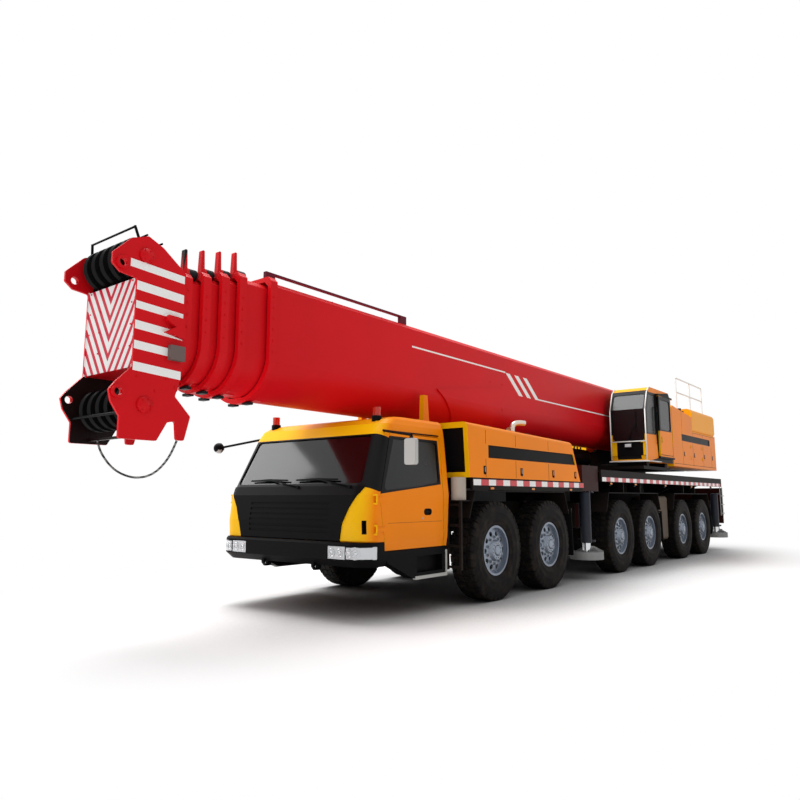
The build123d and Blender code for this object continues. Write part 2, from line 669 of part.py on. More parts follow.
def engine_cover():
    """Cover over the engine bay with a trough for the luffing cylinder, and the exhaust on it."""
    outline = [(COVER_FRONT, COVER_BOTTOM), (COVER_REAR, COVER_BOTTOM),
               (COVER_REAR + 320, COVER_TOP_REAR), (COVER_FRONT + 55, COVER_TOP_FRONT)]
    outer = side_form(outline, -HALF_WIDTH, HALF_WIDTH)
    tops = [e for e in outer.edges()
            if abs(e.center().Y) > HALF_WIDTH - 1 and e.center().Z > COVER_TOP_REAR + 1]
    outer = outer.fillet(COVER_EDGE_R, tops)
    wall = COVER_WALL
    inner = side_form([(COVER_FRONT - wall, COVER_BOTTOM - 10), (COVER_REAR + wall, COVER_BOTTOM - 10),
                       (COVER_REAR + 320 + wall, COVER_TOP_REAR - wall),
                       (COVER_FRONT + 5, COVER_TOP_REAR - wall)], -HALF_WIDTH + wall, HALF_WIDTH - wall)
    trough = block(COVER_REAR - 100, -850, -TROUGH_HALF_W, TROUGH_HALF_W, TROUGH_BOTTOM, 2600)
    trough_skin = block(COVER_REAR + 60, -850 + wall, -TROUGH_HALF_W - wall, TROUGH_HALF_W + wall,
                        TROUGH_BOTTOM - wall, COVER_TOP_REAR - 5)
    cover = (outer - inner) + (trough_skin & outer)
    cover -= trough
    cover -= block(REST_X - 180, COVER_FRONT + 200, -REST_HALF_W - 60, REST_HALF_W + 60, 1600, 2600)
    for side in (1, -1):
        lo, hi = sorted((side * (HALF_WIDTH - BAND_RECESS), side * (HALF_WIDTH + 1)))
        cover -= side_form([(230, 1970), (230, 2150), (-2560, 2150), (-2646, 1970)], lo, hi)
        lo, hi = sorted((side * 770, side * (HALF_WIDTH - 70)))
        cover -= side_form([(COVER_FRONT - 20, 1760), (COVER_FRONT + 24, 2360),
                            (COVER_FRONT + 90, 2360), (COVER_FRONT + 90, 1760)], lo, hi)
    pipe = join(rod_z(EXHAUST_X, EXHAUST_Y, EXHAUST_R, COVER_TOP_REAR - 10, EXHAUST_TOP - 95),
                Solid.make_torus(50, EXHAUST_R, Plane((EXHAUST_X + 50, EXHAUST_Y, EXHAUST_TOP - 95),
                                                      z_dir=(0, 1, 0))) & block(
                    EXHAUST_X - EXHAUST_R, EXHAUST_X + 50, EXHAUST_Y - EXHAUST_R,
                    EXHAUST_Y + EXHAUST_R, EXHAUST_TOP - 95, EXHAUST_TOP),
                rod_x(EXHAUST_Y, EXHAUST_TOP - 45, EXHAUST_R, EXHAUST_X + 50, EXHAUST_X + 110))
    pipe -= rod_x(EXHAUST_Y, EXHAUST_TOP - 45, EXHAUST_R - 6, EXHAUST_X + 60, EXHAUST_X + 120)
    return join(cover, pipe)


MUDGUARD_LOW = 1500
MUDGUARD_T = 14
MUDGUARD_REACH = 560
MUDGUARD_TIP = (700, 1150)
MUDGUARD_IN = 1080


def mudguards(front, rear, deck_low):
    """Plates over a pair of wheels on each side, their ends bent down, hung from the deck."""
    tip, tip_z = MUDGUARD_TIP
    top = MUDGUARD_LOW + MUDGUARD_T
    outline = [(front + tip, tip_z), (front + MUDGUARD_REACH, MUDGUARD_LOW),
               (rear - MUDGUARD_REACH, MUDGUARD_LOW), (rear - tip, tip_z),
               (rear - tip - MUDGUARD_T, tip_z), (rear - MUDGUARD_REACH - MUDGUARD_T / 2, top),
               (front + MUDGUARD_REACH + MUDGUARD_T / 2, top), (front + tip + MUDGUARD_T, tip_z)]
    pieces = []
    for side in (1, -1):
        lo, hi = sorted((side * MUDGUARD_IN, side * DECK_SIDE))
        pieces.append(side_form(outline, lo, hi))
        lo, hi = sorted((side * (MUDGUARD_IN + 60), side * (DECK_SIDE - 60)))
        for x in (front - 350, rear + 350):
            pieces.append(block(x - 15, x + 15, lo, hi, MUDGUARD_LOW + 2, deck_low))
    return pieces


def deck(front, rear, low, top, inner_y, posts, wheels):
    """Chequer-plate deck with side boards and mudguards, on brackets from the frame."""
    pieces = []
    for side in (1, -1):
        lo, hi = sorted((side * inner_y, side * DECK_SIDE))
        pieces.append(block(rear, front, lo, hi, top - DECK_PLATE, top))
        lo, hi = sorted((side * (DECK_SIDE - 40), side * DECK_SIDE))
        pieces.append(block(rear, front, lo, hi, low, top))
    for x in posts:
        pieces.append(front_form([(-FRAME_HALF_W, FRAME_TOP), (FRAME_HALF_W, FRAME_TOP),
                                  (FRAME_HALF_W + 100, FRAME_TOP + 100),
                                  (DECK_SIDE - 20, top - 110), (DECK_SIDE - 20, top - 10),
                                  (-DECK_SIDE + 20, top - 10), (-DECK_SIDE + 20, top - 110),
                                  (-FRAME_HALF_W - 100, FRAME_TOP + 100)], x - 30, x + 30))
    for first, second in wheels:
        pieces += mudguards(first, second, top - DECK_PLATE + 5)
    return pieces


def boarding():
    """Shelf and ladder behind the cab on each side, joined to the front mudguard."""
    pieces = []
    for side in (1, -1):
        lo, hi = sorted((side * 1200, side * 1460))
        pieces.append(block(MUDGUARD_REACH + 55, 885, lo, hi, 1370, 1385))
        for y in (1215, 1425):
            lo, hi = sorted((side * y, side * (y + 35)))
            pieces.append(block(850, 885, lo, hi, 480, 1385))
        lo, hi = sorted((side * 1240, side * 1435))
        for k in range(4):
            z = 500 + 270 * k
            pieces.append(block(850, 885, lo, hi, z, z + 30))
    return pieces


def decks():
    """Both decks, and an air cleaner canister on the shelf behind the cab on each side."""
    front = join(*deck(*FRONT_DECK, DECK_INNER, (380, -2700), [AXLES[0:2]]), *boarding())
    rear = join(*deck(*REAR_DECK, 0, (-4300, -5500, -9300, -11000), [AXLES[2:4], AXLES[4:6]]))
    rear -= rod_z(SLEW_X, 0, RING_R + 30, 1300, 2100)
    cans = [rod_z(740, side * 1330, 102, 1385 + SEAT, 1690) for side in (1, -1)]
    return [front, rear] + cans


# Outriggers
def outrigger(x, side):
    """Beam on one side and the jack hanging from its end."""
    centre = x + side * (OUT_BEAM_W + OUT_WALL) / 2
    lo, hi = sorted((-side * (OUT_BOX_HALF - 60), side * (JACK_Y - JACK_TUBE_R + 20)))
    half = (OUT_BEAM_W - RUNNING_GAP) / 2
    beam = block(centre - half, centre + half, lo, hi, OUT_BEAM_LOW, OUT_BEAM_LOW + OUT_BEAM_H)
    tube = rod_z(centre, side * JACK_Y, JACK_TUBE_R, JACK_LOW, JACK_TOP)
    beam = join(beam, tube) - rod_z(centre, side * JACK_Y, JACK_ROD_R + PIN_CLEARANCE,
                                    JACK_LOW - 10, JACK_TOP - 60)
    jack = join(rod_z(centre, side * JACK_Y, JACK_ROD_R, FLOAT_LOW + 60, JACK_TOP - 120),
                rod_z(centre, side * JACK_Y, FLOAT_R, FLOAT_LOW, FLOAT_LOW + FLOAT_H))
    return beam, jack


# Superstructure
def turntable():
    """Slewing platform with the two cheeks that hold the boom pivot and the luffing base."""
    px, pz = BOOM_PIVOT
    half = CHEEK_IN + CHEEK_T
    pieces = [
        rod_z(SLEW_X, 0, RING_R, RING_TOP + RING_GAP, PLATFORM_LOW + 10),
        block(PLATFORM_STEP, PLATFORM_FRONT, -half, half, PLATFORM_LOW, PLATFORM_LOW + PLATFORM_T),
        block(PLATFORM_REAR, PLATFORM_STEP + 200, -half, half, HOUSE_LOW, HOUSE_LOW + PLATFORM_T),
        block(-8100, PLATFORM_FRONT, CHEEK_IN, 1400, PLATFORM_LOW + 20, PLATFORM_LOW + 90),
    ]
    bx, bz = LUFF_BASE
    for side in (1, -1):
        lo, hi = sorted((side * CHEEK_IN, side * half))
        pieces.append(side_form([(-7900, PLATFORM_LOW), (-8300, 2500), (px + 260, pz + 120),
                                 (px + 100, pz + 220), (px - 120, pz + 220), (px - 300, pz),
                                 (px - 420, HOUSE_LOW), (PLATFORM_STEP, HOUSE_LOW),
                                 (PLATFORM_STEP, PLATFORM_LOW)], lo, hi))
        pieces.append(side_form([(WINCH_X - 260, HOUSE_LOW), (WINCH_X + 260, HOUSE_LOW),
                                 (WINCH_X + 120, WINCH_Z + 120), (WINCH_X - 120, WINCH_Z + 120)],
                                lo, hi))
        lo, hi = sorted((side * (EYE_HALF_W + 8), side * (EYE_HALF_W + 58)))
        pieces.append(side_form([(bx - 400, PLATFORM_LOW), (bx + 250, PLATFORM_LOW),
                                 (bx + 150, bz + 60), (bx + 60, bz + 150), (bx - 60, bz + 150),
                                 (bx - 150, bz + 60)], lo, hi))
        lo, hi = sorted((side * (half - 20), side * (HOUSE_IN - SEAT)))
        for x in (PLATFORM_STEP - 600, PLATFORM_REAR + 900):
            pieces.append(block(x - 100, x + 100, lo, hi, HOUSE_LOW + 10, HOUSE_LOW + 100))
    for x in (CCAB_REAR + 250, CCAB_FRONT - 250):
        pieces.append(block(x - 70, x + 70, CCAB_IN + 80, CCAB_OUT - 90, PLATFORM_LOW + 60, CCAB_LOW))
    body = join(*pieces)
    body -= rod_y(px, pz, PIVOT_R + PIN_CLEARANCE, -800, 800)
    body -= rod_y(*LUFF_BASE, 70 + PIN_CLEARANCE, -500, 500)
    return body


def crane_cab_side(inset):
    outline = [(CCAB_REAR, CCAB_LOW), (CCAB_FRONT - 60, CCAB_LOW), (CCAB_FRONT, CCAB_LOW + 120),
               (CCAB_FRONT, 3350), (CCAB_FRONT - 180, 3760), (CCAB_FRONT - 340, CCAB_ROOF),
               (CCAB_REAR + 120, CCAB_ROOF), (CCAB_REAR, CCAB_ROOF - 120)]
    face = Face(Wire.make_polygon([Vector(x, z, 0) for x, z in outline]))
    if inset:
        face = offset(face, -inset, kind=Kind.INTERSECTION).faces()[0]
    return face


def crane_cab_form(inset):
    depth = CCAB_OUT - CCAB_IN - 2 * inset
    return extrude(Plane.XZ.offset(-(CCAB_OUT - inset)) * crane_cab_side(inset), depth).solids()[0]


CCAB_DOOR = [(-8000, CCAB_DOOR_LOW), (-7150, CCAB_DOOR_LOW), (-7150, CCAB_DOOR_HIGH),
             (-8000, CCAB_DOOR_HIGH)]


def crane_cab():
    """Crane cab shell, its sliding door and its glass."""
    shell = crane_cab_form(0) - crane_cab_form(CCAB_WALL)
    inner_y, outer_y = CCAB_IN + 60, CCAB_OUT - 60
    screen = [(inner_y, 2650), (outer_y, 2650), (outer_y, 3690), (inner_y, 3690)]
    shell -= rounded_front(screen, 60, CCAB_FRONT - 400, CCAB_FRONT + 100)
    front_side = [(-7060, 2820), (CCAB_FRONT - 60, 2820), (CCAB_FRONT - 60, 3330),
                  (CCAB_FRONT - 200, 3690), (-7060, 3690)]
    shell -= rounded_side(front_side, 50, CCAB_IN - 70, CCAB_OUT + 100)
    inner_side = [(-7950, 2950), (-7120, 2950), (-7120, 3640), (-7950, 3640)]
    shell -= rounded_side(inner_side, 60, CCAB_IN - 70, CCAB_IN + 100)
    roof_pane = [(-6950, inner_y), (-6790, inner_y), (-6790, outer_y), (-6950, outer_y)]
    shell -= plan_form(roof_pane, CCAB_ROOF - 100, CCAB_ROOF + 10)
    shell -= side_form([(-7990, 2340), (-7160, 2340), (-7160, 3690), (-7990, 3690)],
                       CCAB_OUT - 180, CCAB_OUT + 100)
    shell -= block(CCAB_FRONT - 10, CCAB_FRONT + 10, CCAB_IN + 200, CCAB_OUT - 90,
                   CCAB_LOW + 130, 2610)
    door_y = CCAB_OUT + 6
    for z in (CCAB_DOOR_LOW - SEAT - 40, CCAB_DOOR_HIGH + SEAT):
        shell = join(shell, block(CCAB_REAR, -7100, CCAB_OUT - 5, door_y + 40, z, z + 40))
    door = side_form(CCAB_DOOR, door_y, door_y + 40)
    door -= rounded_side([(-7930, 2940), (-7215, 2940), (-7215, 3630), (-7930, 3630)], 90, 1400, 1700)
    door -= block(-7290, -7210, door_y + 25, door_y + 50, 2640, 2760)
    pane = crane_cab_form(16) - crane_cab_form(24)
    panes = [pane & rounded_front(screen, 60, CCAB_FRONT - 400, CCAB_FRONT + 100),
             pane & rounded_side(front_side, 50, CCAB_OUT - 100, CCAB_OUT + 100),
             pane & rounded_side(front_side, 50, CCAB_IN - 70, CCAB_IN + 200),
             pane & rounded_side(inner_side, 60, CCAB_IN - 70, CCAB_IN + 200),
             pane & plan_form(roof_pane, CCAB_ROOF - 100, CCAB_ROOF + 10)]
    return shell, door, panes


def crane_cab_interior():
    floor = CCAB_LOW + CCAB_WALL + SEAT
    y = (CCAB_IN + CCAB_OUT) / 2
    seat = join(block(-7700, -7300, y - 200, y + 200, floor, 2650),
                block(-7750, -7230, y - 240, y + 240, 2650, 2760),
                side_form([(-7760, 2760), (-7640, 2760), (-7760, 3400), (-7860, 3400)],
                          y - 230, y + 230),
                block(-7600, -7150, y - 330, y - 250, 2500, 2850),
                block(-7600, -7150, y + 250, y + 330, 2500, 2850),
                block(-7650, -7350, y - 330, y + 330, 2450, 2550))
    return seat


TANK_LOW = 3060
VENT = (-11380, -8900, 2800, 2950)
VENT_DEPTH = 18
VENT_SLOTS = 4


def machinery_house():
    """House on each side of the boom foot, a rounded tank on its rear, vents, caps and handrails."""
    pieces = []
    for side in (1, -1):
        lo, hi = sorted((side * HOUSE_IN, side * HOUSE_OUT))
        house = side_form([(HOUSE_REAR, HOUSE_LOW), (HOUSE_FRONT, HOUSE_LOW),
                           (HOUSE_FRONT, HOUSE_TOP - 50), (HOUSE_FRONT - 60, HOUSE_TOP),
                           (TANK_FRONT, HOUSE_TOP - 150), (TANK_FRONT, TANK_LOW + 20),
                           (HOUSE_REAR, TANK_LOW + 20)], lo, hi)
        tank = rounded_front([(lo + 30, TANK_LOW), (hi, TANK_LOW), (hi, TANK_TOP), (lo + 30, TANK_TOP)],
                             120, HOUSE_REAR, TANK_FRONT - 15)
        lo, hi = sorted((side * (HOUSE_OUT - VENT_DEPTH), side * (HOUSE_OUT + 1)))
        x0, x1, z0, z1 = VENT
        pitch = (z1 - z0) / VENT_SLOTS
        for k in range(VENT_SLOTS):
            house -= block(x0, x1, lo, hi, z0 + k * pitch + 4, z0 + (k + 1) * pitch - 4)
        y = side * (HOUSE_OUT - 170)
        extras = [rod_z(-9330, y, 65, HOUSE_TOP - 180, HOUSE_TOP + 40),
                  rod_z(-9580, y, 50, HOUSE_TOP - 180, HOUSE_TOP)]
        y = side * (HOUSE_OUT - 150)
        for x, z in ((-9150, HOUSE_TOP - 120), (-10300, TANK_TOP - 15), (-11400, TANK_TOP - 15)):
            extras.append(bar((x, y, z), (x, y, RAIL_TOP), RAIL_R))
        for z in (RAIL_TOP, (RAIL_TOP + TANK_TOP) / 2):
            extras.append(bar((-11400, y, z), (-9150, y, z), RAIL_R))
        pieces.append(join(house, tank, *extras))
    return pieces


def winch():
    """Winch drum between its flanges, on a shaft that ends in the two carriers."""
    end = CHEEK_IN - SEAT
    flange = CHEEK_IN - 60
    return join(rod_y(WINCH_X, WINCH_Z, WINCH_DRUM_R, -flange + 10, flange - 10),
                rod_y(WINCH_X, WINCH_Z, WINCH_FLANGE_R, -flange, -flange + 30),
                rod_y(WINCH_X, WINCH_Z, WINCH_FLANGE_R, flange - 30, flange),
                rod_y(WINCH_X, WINCH_Z, 60, -end, end))


# Boom
def boom_face(x, step, shrink=0):
    """Cross-section of section number step: flat top and sides, keel bent to a curve."""
    half = BOOM_HALF_W - step * SECTION_SIDE_STEP - shrink
    top = BOOM_TOP - step * SECTION_TOP_STEP - shrink
    low = BOOM_BOTTOM + step * SECTION_BOTTOM_STEP + shrink
    corners = [Vector(x, half, low + KEEL_DEPTH), Vector(x, half, top - BOOM_BEND),
               Vector(x, half - BOOM_BEND, top), Vector(x, -half + BOOM_BEND, top),
               Vector(x, -half, top - BOOM_BEND), Vector(x, -half, low + KEEL_DEPTH)]
    edges = [Edge.make_line(a, b) for a, b in zip(corners, corners[1:])]
    edges.append(Edge.make_three_point_arc(corners[-1], Vector(x, 0, low), corners[0]))
    return Face(Wire(edges))


def boom_form(step, shrink, x0, x1):
    """Solid of that cross-section between two stations."""
    return Solid.extrude(boom_face(x0, step, shrink), Vector(x1 - x0, 0, 0))


def collar(step, x):
    """Thick flange round the front end of a section, with a fin and a roller on top."""
    ring = boom_form(step, -COLLAR_PROUD, x - COLLAR_T, x) - boom_form(
        step, BOOM_WALL, x - COLLAR_T - 10, x + 10)
    if step == 0:
        return ring
    top = BOOM_TOP - step * SECTION_TOP_STEP
    fin = rounded_side([(x - 80, top - 30), (x - 20, top - 30), (x - 35, top + FIN_H),
                        (x - 65, top + FIN_H)], 12, FIN_Y - 30, FIN_Y + 30)
    roller = rod_x(FIN_Y - 20, top + 60, 62, x - COLLAR_T - 95, x - COLLAR_T + 5)
    return join(ring, fin, roller)


def boom_section(step, tail, front):
    """One hollow section with its wear pads, and a collar unless it carries the head.

    The pads on top of its tail slide under the roof of the section outside it, and the pad in
    its own mouth carries the section inside it.
    """
    tube = boom_form(step, 0, tail, front) - boom_form(step, BOOM_WALL, tail - 10, front + 10)
    pieces = [tube]
    if step <= COLLARS:
        low = BOOM_BOTTOM + step * SECTION_BOTTOM_STEP
        pieces += [collar(step, front),
                   block(front - PAD_LENGTH, front, -PAD_HALF_W, PAD_HALF_W, low + BOOM_WALL / 2,
                         low + SECTION_BOTTOM_STEP - SEAT)]
    if step:
        top = BOOM_TOP - step * SECTION_TOP_STEP
        pieces.append(block(tail, tail + PAD_LENGTH, -PAD_HALF_W, PAD_HALF_W, top - BOOM_WALL / 2,
                            top + SECTION_TOP_STEP - BOOM_WALL - SEAT))
    return join(*pieces)


def boom_base():
    """Outermost section with its pivot, luffing lugs, doubler plate and the rail along its top."""
    px, pz = BOOM_PIVOT
    ex, ez = LUFF_EYE
    pieces = [boom_section(0, BOOM_TAIL, BOOM_FRONT)]
    saddle = boom_form(0, -DOUBLER_T, ex - 800, ex + 1600) - boom_form(0, 2, ex - 900, ex + 1700)
    pieces.append(saddle & side_form([(ex + 1500, 3060), (ex - 530, 3330), (ex - 240, 2500),
                                      (ex + 600, 2500)], -700, 700))
    for side in (1, -1):
        lo, hi = sorted((side * (BOOM_HALF_W - 5), side * (CHEEK_IN - 5)))
        pieces.append(rod_y(px, pz, 220, lo, hi))
        lo, hi = sorted((side * (BOOM_HALF_W - 5), side * (CHEEK_IN + CHEEK_T)))
        pieces.append(rod_y(px, pz, PIVOT_R, lo, hi))
        lo, hi = sorted((side * (EYE_HALF_W + 8), side * (EYE_HALF_W + 58)))
        pieces.append(side_form([(ex - 420, BOOM_BOTTOM + 35), (ex - 110, ez - 90), (ex, ez - 130),
                                 (ex + 110, ez - 90), (ex + 420, BOOM_BOTTOM + 35)], lo, hi))
    rail_y = BOOM_HALF_W - BOOM_BEND - 10
    rail_z = BOOM_TOP + RAIL_STAND
    pieces.append(block(BOOM_FRONT - 2700, BOOM_FRONT - 20, rail_y - 50, rail_y, rail_z, rail_z + 22))
    for x0, x1 in ((-2700, -2560), (-160, -20)):
        pieces.append(block(BOOM_FRONT + x0, BOOM_FRONT + x1, rail_y - 50, rail_y, BOOM_TOP - 5,
                            rail_z + 5))
    body = join(*pieces)
    body -= rod_y(*LUFF_EYE, 60 + PIN_CLEARANCE, -400, 400)
    return body


def luffing_cylinder():
    """Barrel with its base eye, and the rod with its eye."""
    bx, bz = LUFF_BASE
    ex, ez = LUFF_EYE
    length = math.hypot(ex - bx, ez - bz)
    turn = math.degrees(math.atan2(ez - bz, ex - bx))
    barrel = join(Solid.make_cylinder(BARREL_R, BARREL_LEN, Plane((250, 0, 0), z_dir=(1, 0, 0))),
                  block(0, 300, -EYE_HALF_W, EYE_HALF_W, -120, 120),
                  rod_y(0, 0, 140, -EYE_HALF_W, EYE_HALF_W),
                  rod_y(0, 0, 70, -EYE_HALF_W - 58, EYE_HALF_W + 58))
    barrel -= Solid.make_cylinder(ROD_R + PIN_CLEARANCE, BARREL_LEN + 300,
                                  Plane((350, 0, 0), z_dir=(1, 0, 0)))
    rod = join(Solid.make_cylinder(ROD_R, length - 500, Plane((400, 0, 0), z_dir=(1, 0, 0))),
               rod_y(length, 0, EYE_R, -EYE_HALF_W, EYE_HALF_W),
               block(length - 250, length, -EYE_HALF_W, EYE_HALF_W, -100, 100),
               rod_y(length, 0, 60, -EYE_HALF_W - 6, EYE_HALF_W + 6))
    place = Location((bx, 0, bz), (0, -turn, 0))
    return barrel.moved(place), rod.moved(place)


HEAD_SIDE = [(4530, 3730), (4800, 3930), (4970, 4005), (5150, 3935), (5335, 3745), (5335, 3640),
             (5250, 3570), (5075, 3550), (5075, 2670), (5240, 2500), (5300, 2420), (5270, 2310),
             (5180, 2180), (5180, 1970), (4780, 1970), (4670, 2160), (4580, 2180), (4560, 1990),
             (4470, 1990), (4405, 2240), (4595, 2430), (4530, 2650)]
HEAD_CORNER_R = 24
JIB_PINS = ((5235, 3665), (5215, 2410))
JIB_PIN_R = 40
SHEAVE_AXLES = ((4985, 3795, 215), (4930, 2310, 220))
SHEAVE_ROWS = (-320, -160, 0, 160, 320)


def boom_head():
    """Two side plates joined by the front board and cross plates, with ears, guards and brackets."""
    pieces = []
    for side in (1, -1):
        lo, hi = sorted((side * HEAD_IN, side * (HEAD_IN + HEAD_T)))
        pieces.append(rounded_side(HEAD_SIDE, HEAD_CORNER_R, lo, hi))
        lo, hi = sorted((side * (HEAD_IN + HEAD_T - 5), side * (HEAD_IN + HEAD_T + 25)))
        for x, z in JIB_PINS:
            pieces.append(rod_y(x, z, JIB_PIN_R + 25, lo, hi))
        lo, hi = sorted((side * (HEAD_IN + HEAD_T - 5), side * (HEAD_IN + HEAD_T + 60)))
        pieces.append(side_form([(4545, 3020), (4770, 3060), (4650, 3130), (4745, 3180), (4735, 3240),
                                 (4560, 3230)], lo, hi))
        pieces.append(block(4535, 4700, lo, hi, 2790, 2940))
    y = HEAD_IN + 5
    pieces.append(block(5040, 5070, -y, y, 2670, 3560))
    pieces.append(block(HEAD_REAR, HEAD_REAR + 30, -y, y, 2650, 3700))
    pieces.append(block(HEAD_REAR, 5060, -y, y, 2670, 2700))
    pieces.append(block(HEAD_REAR, 5060, -y, y, 3530, 3560))
    pieces.append(rod_y(5168, 2218, 14, -y, y))
    guard_z = 4085
    pieces.append(bar((5090, -y + 40, guard_z), (5090, y - 40, guard_z), 11))
    for side in (1, -1):
        pieces.append(bar((5060, side * (HEAD_IN + 12), 3940), (5090, side * (y - 40), guard_z + 8), 14))
    anchor_x, anchor_y, anchor_z = ROPE_ANCHOR
    pieces.append(block(anchor_x - 20, anchor_x + 20, -y, y, anchor_z, anchor_z + 25))
    head = join(*pieces)
    for x, z in JIB_PINS:
        head -= rod_y(x, z, JIB_PIN_R, -HALF_WIDTH, HALF_WIDTH)
    return head


def head_sheaves():
    """Upper and lower rows of rope sheaves, each on its axle between the side plates."""
    rows = []
    for x, z, r in SHEAVE_AXLES:
        wheels = [spun_y([(40, y - 26), (r - 60, y - 26), (r, y - 34), (r - 24, y), (r, y + 34),
                          (r - 60, y + 26), (40, y + 26)], x, z) for y in SHEAVE_ROWS]
        rows.append(join(rod_y(x, z, 45, -HEAD_IN + SEAT, HEAD_IN - SEAT), *wheels))
    return rows


ROPE_R = 11
ROPE_ROUTE = [(4973, -280, 1994.8), (4963, -262, 1920), (4932, -208, 1820), (4884, -127, 1718),
              (4828, -29, 1652), (4762, 86, 1616), (4697, 197, 1626), (4645, 288, 1675),
              (4599, 367, 1765), (4564, 427, 1875), (4542, 465, 1985.6)]


def hoist_rope():
    points = [Vector(*p) for p in ROPE_ROUTE]
    radii = []
    for a, b, c in zip(points, points[1:], points[2:]):
        turn = (b - a).get_angle(c - b)
        shorter = min((b - a).length, (c - b).length)
        radii.append(0.45 * shorter / math.tan(math.radians(turn) / 2))
    print("rope bend radii", [round(r) for r in radii])
    path = FilletPolyline(*points, radius=radii)
    start = Plane(points[0], z_dir=points[1] - points[0])
    rope = sweep(start * Circle(ROPE_R), path=path.wire())
    print("rope length", round(path.length), "volume ratio",
          round(rope.volume / (math.pi * ROPE_R ** 2 * path.length), 4))
    return rope


# Write every node
os.makedirs("parts", exist_ok=True)

tyre, rim = wheel()
for number, x in enumerate(AXLES, 1):
    place = Location((x, 0, 0))
    for name in ("left", "right"):
        pieces = [tyre, rim]
        if number != RIGID_AXLE:
            pieces.append(knuckle(0))
        if name == "right":
            pieces = [piece.mirror(Plane.XZ) for piece in pieces]
        save(f"wheel_{number}_{name}", *[piece.moved(place) for piece in pieces[:2]])
        if number != RIGID_AXLE:
            save(f"knuckle_{number}_{name}", pieces[2].moved(place))

save("axle_beams", *[axle_beam(x, n != RIGID_AXLE) for n, x in enumerate(AXLES, 1)])
save("chassis_frame", *chassis_frame())
save("engine_block", engine_block())
cab_shell, cab_doors, cab_panes = carrier_cab()
save("carrier_cab", cab_shell)
save("carrier_door_left", cab_doors[0])
save("carrier_door_right", cab_doors[1])
save("carrier_cab_glass", *cab_panes)
save("carrier_cab_interior", *cab_interior())
save("front_bumper", *front_bumper())
save("lamps", *lamps())
save("engine_cover", engine_cover())
save("decks", *decks())
for where, x in OUTRIGGERS.items():
    for side, name in ((1, "left"), (-1, "right")):
        beam, jack = outrigger(x, side)
        save(f"outrigger_beam_{where}_{name}", beam)
        save(f"outrigger_jack_{where}_{name}", jack)
save("turntable", turntable())
shell, door, panes = crane_cab()
save("crane_cab", shell)
save("crane_cab_door", door)
save("crane_cab_glass", *panes)
save("crane_cab_interior", crane_cab_interior())
save("machinery_house", *machinery_house())
save("winch", winch())
save("boom_base", boom_base())
for step in range(1, COLLARS + 2):
    front = COLLAR_FIRST + (step - 1) * COLLAR_PITCH if step <= COLLARS else HEAD_REAR
    tail = BOOM_TAIL + 100 + step * SECTION_TAIL_PITCH
    save(f"boom_section_{step}", boom_section(step, tail, front))
barrel, rod = luffing_cylinder()
save("luffing_barrel", barrel)
save("luffing_rod", rod)
save("boom_head", boom_head())
save("head_sheaves", *head_sheaves())
save("hoist_rope", hoist_rope())
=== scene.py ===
# %% [markdown]
# # A six-axle mobile crane, dressed for its portrait
# The packed model already holds every steel piece at its real size. This notebook adds what the
# eye reads as finish: paint, glass, rubber, stripes, treads, bolts and the slack hoist rope.
# Each step first says what the real thing is, and then how it is made here.

# %% Load the packed model
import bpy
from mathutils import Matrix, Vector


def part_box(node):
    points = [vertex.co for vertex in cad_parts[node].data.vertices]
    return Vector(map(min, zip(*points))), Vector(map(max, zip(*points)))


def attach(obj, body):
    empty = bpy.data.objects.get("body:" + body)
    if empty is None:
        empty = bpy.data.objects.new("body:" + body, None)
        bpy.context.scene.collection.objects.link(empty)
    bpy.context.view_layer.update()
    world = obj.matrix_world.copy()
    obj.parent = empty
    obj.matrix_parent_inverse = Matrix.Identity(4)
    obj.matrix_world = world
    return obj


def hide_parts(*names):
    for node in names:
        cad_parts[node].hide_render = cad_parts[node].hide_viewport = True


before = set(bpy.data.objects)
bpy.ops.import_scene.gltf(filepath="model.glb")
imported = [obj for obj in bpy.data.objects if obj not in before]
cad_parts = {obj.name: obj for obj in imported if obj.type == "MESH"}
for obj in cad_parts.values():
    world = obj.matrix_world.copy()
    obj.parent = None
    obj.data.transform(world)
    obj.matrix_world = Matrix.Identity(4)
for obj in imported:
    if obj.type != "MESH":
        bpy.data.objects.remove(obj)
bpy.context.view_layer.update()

import bmesh
import bpy
import math
from mathutils import Matrix, Vector

# %% [markdown]
# ## Stations
# The drawing measures everything forward from the first axle. The packed model has its origin under
# the middle of the crane, so one number moves a station into it: the front wheel's own middle.

# %% Stations in metres
wheel_low, wheel_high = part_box("wheel_1_left")
FIRST_AXLE = (wheel_low.x + wheel_high.x) / 2


def at(x, y, z):
    """A point given by its station, its offset to the crane's left and its height."""
    return Vector((x + FIRST_AXLE, y, z))


print("first axle at", round(FIRST_AXLE, 4))

# %% [markdown]
# ## Camera
# The photograph was taken from about eye height, some eight metres off the front left corner, with a
# moderately wide lens tilted a little upwards. The wheels' hubs and the foot of each tyre fix all of it.

# %% Camera
CAMERA_PLACE = at(8.582, 6.539, 1.424)
CAMERA_YAW = 218.4
CAMERA_PITCH = 8.02
CAMERA_LENS = 31.04

camera_data = bpy.data.cameras.new("camera")
camera_data.lens = CAMERA_LENS
camera_data.sensor_width = 36
camera = bpy.data.objects.new("camera", camera_data)
camera.location = CAMERA_PLACE
camera.rotation_euler = (math.radians(90 + CAMERA_PITCH), 0, math.radians(CAMERA_YAW - 90))
bpy.context.scene.collection.objects.link(camera)
bpy.context.scene.camera = camera
print("camera at", [round(c, 3) for c in camera.location])

# %% [markdown]
# ## The slack hoist rope
# A greased steel wire rope, 22 mm thick. One end is pinned under the middle of the boom head, the other
# is wedged in the left side plate, and the spare metre hangs between them in an uneven loop. A smooth
# spline with the route's points as its control points bends the way a stiff rope does.

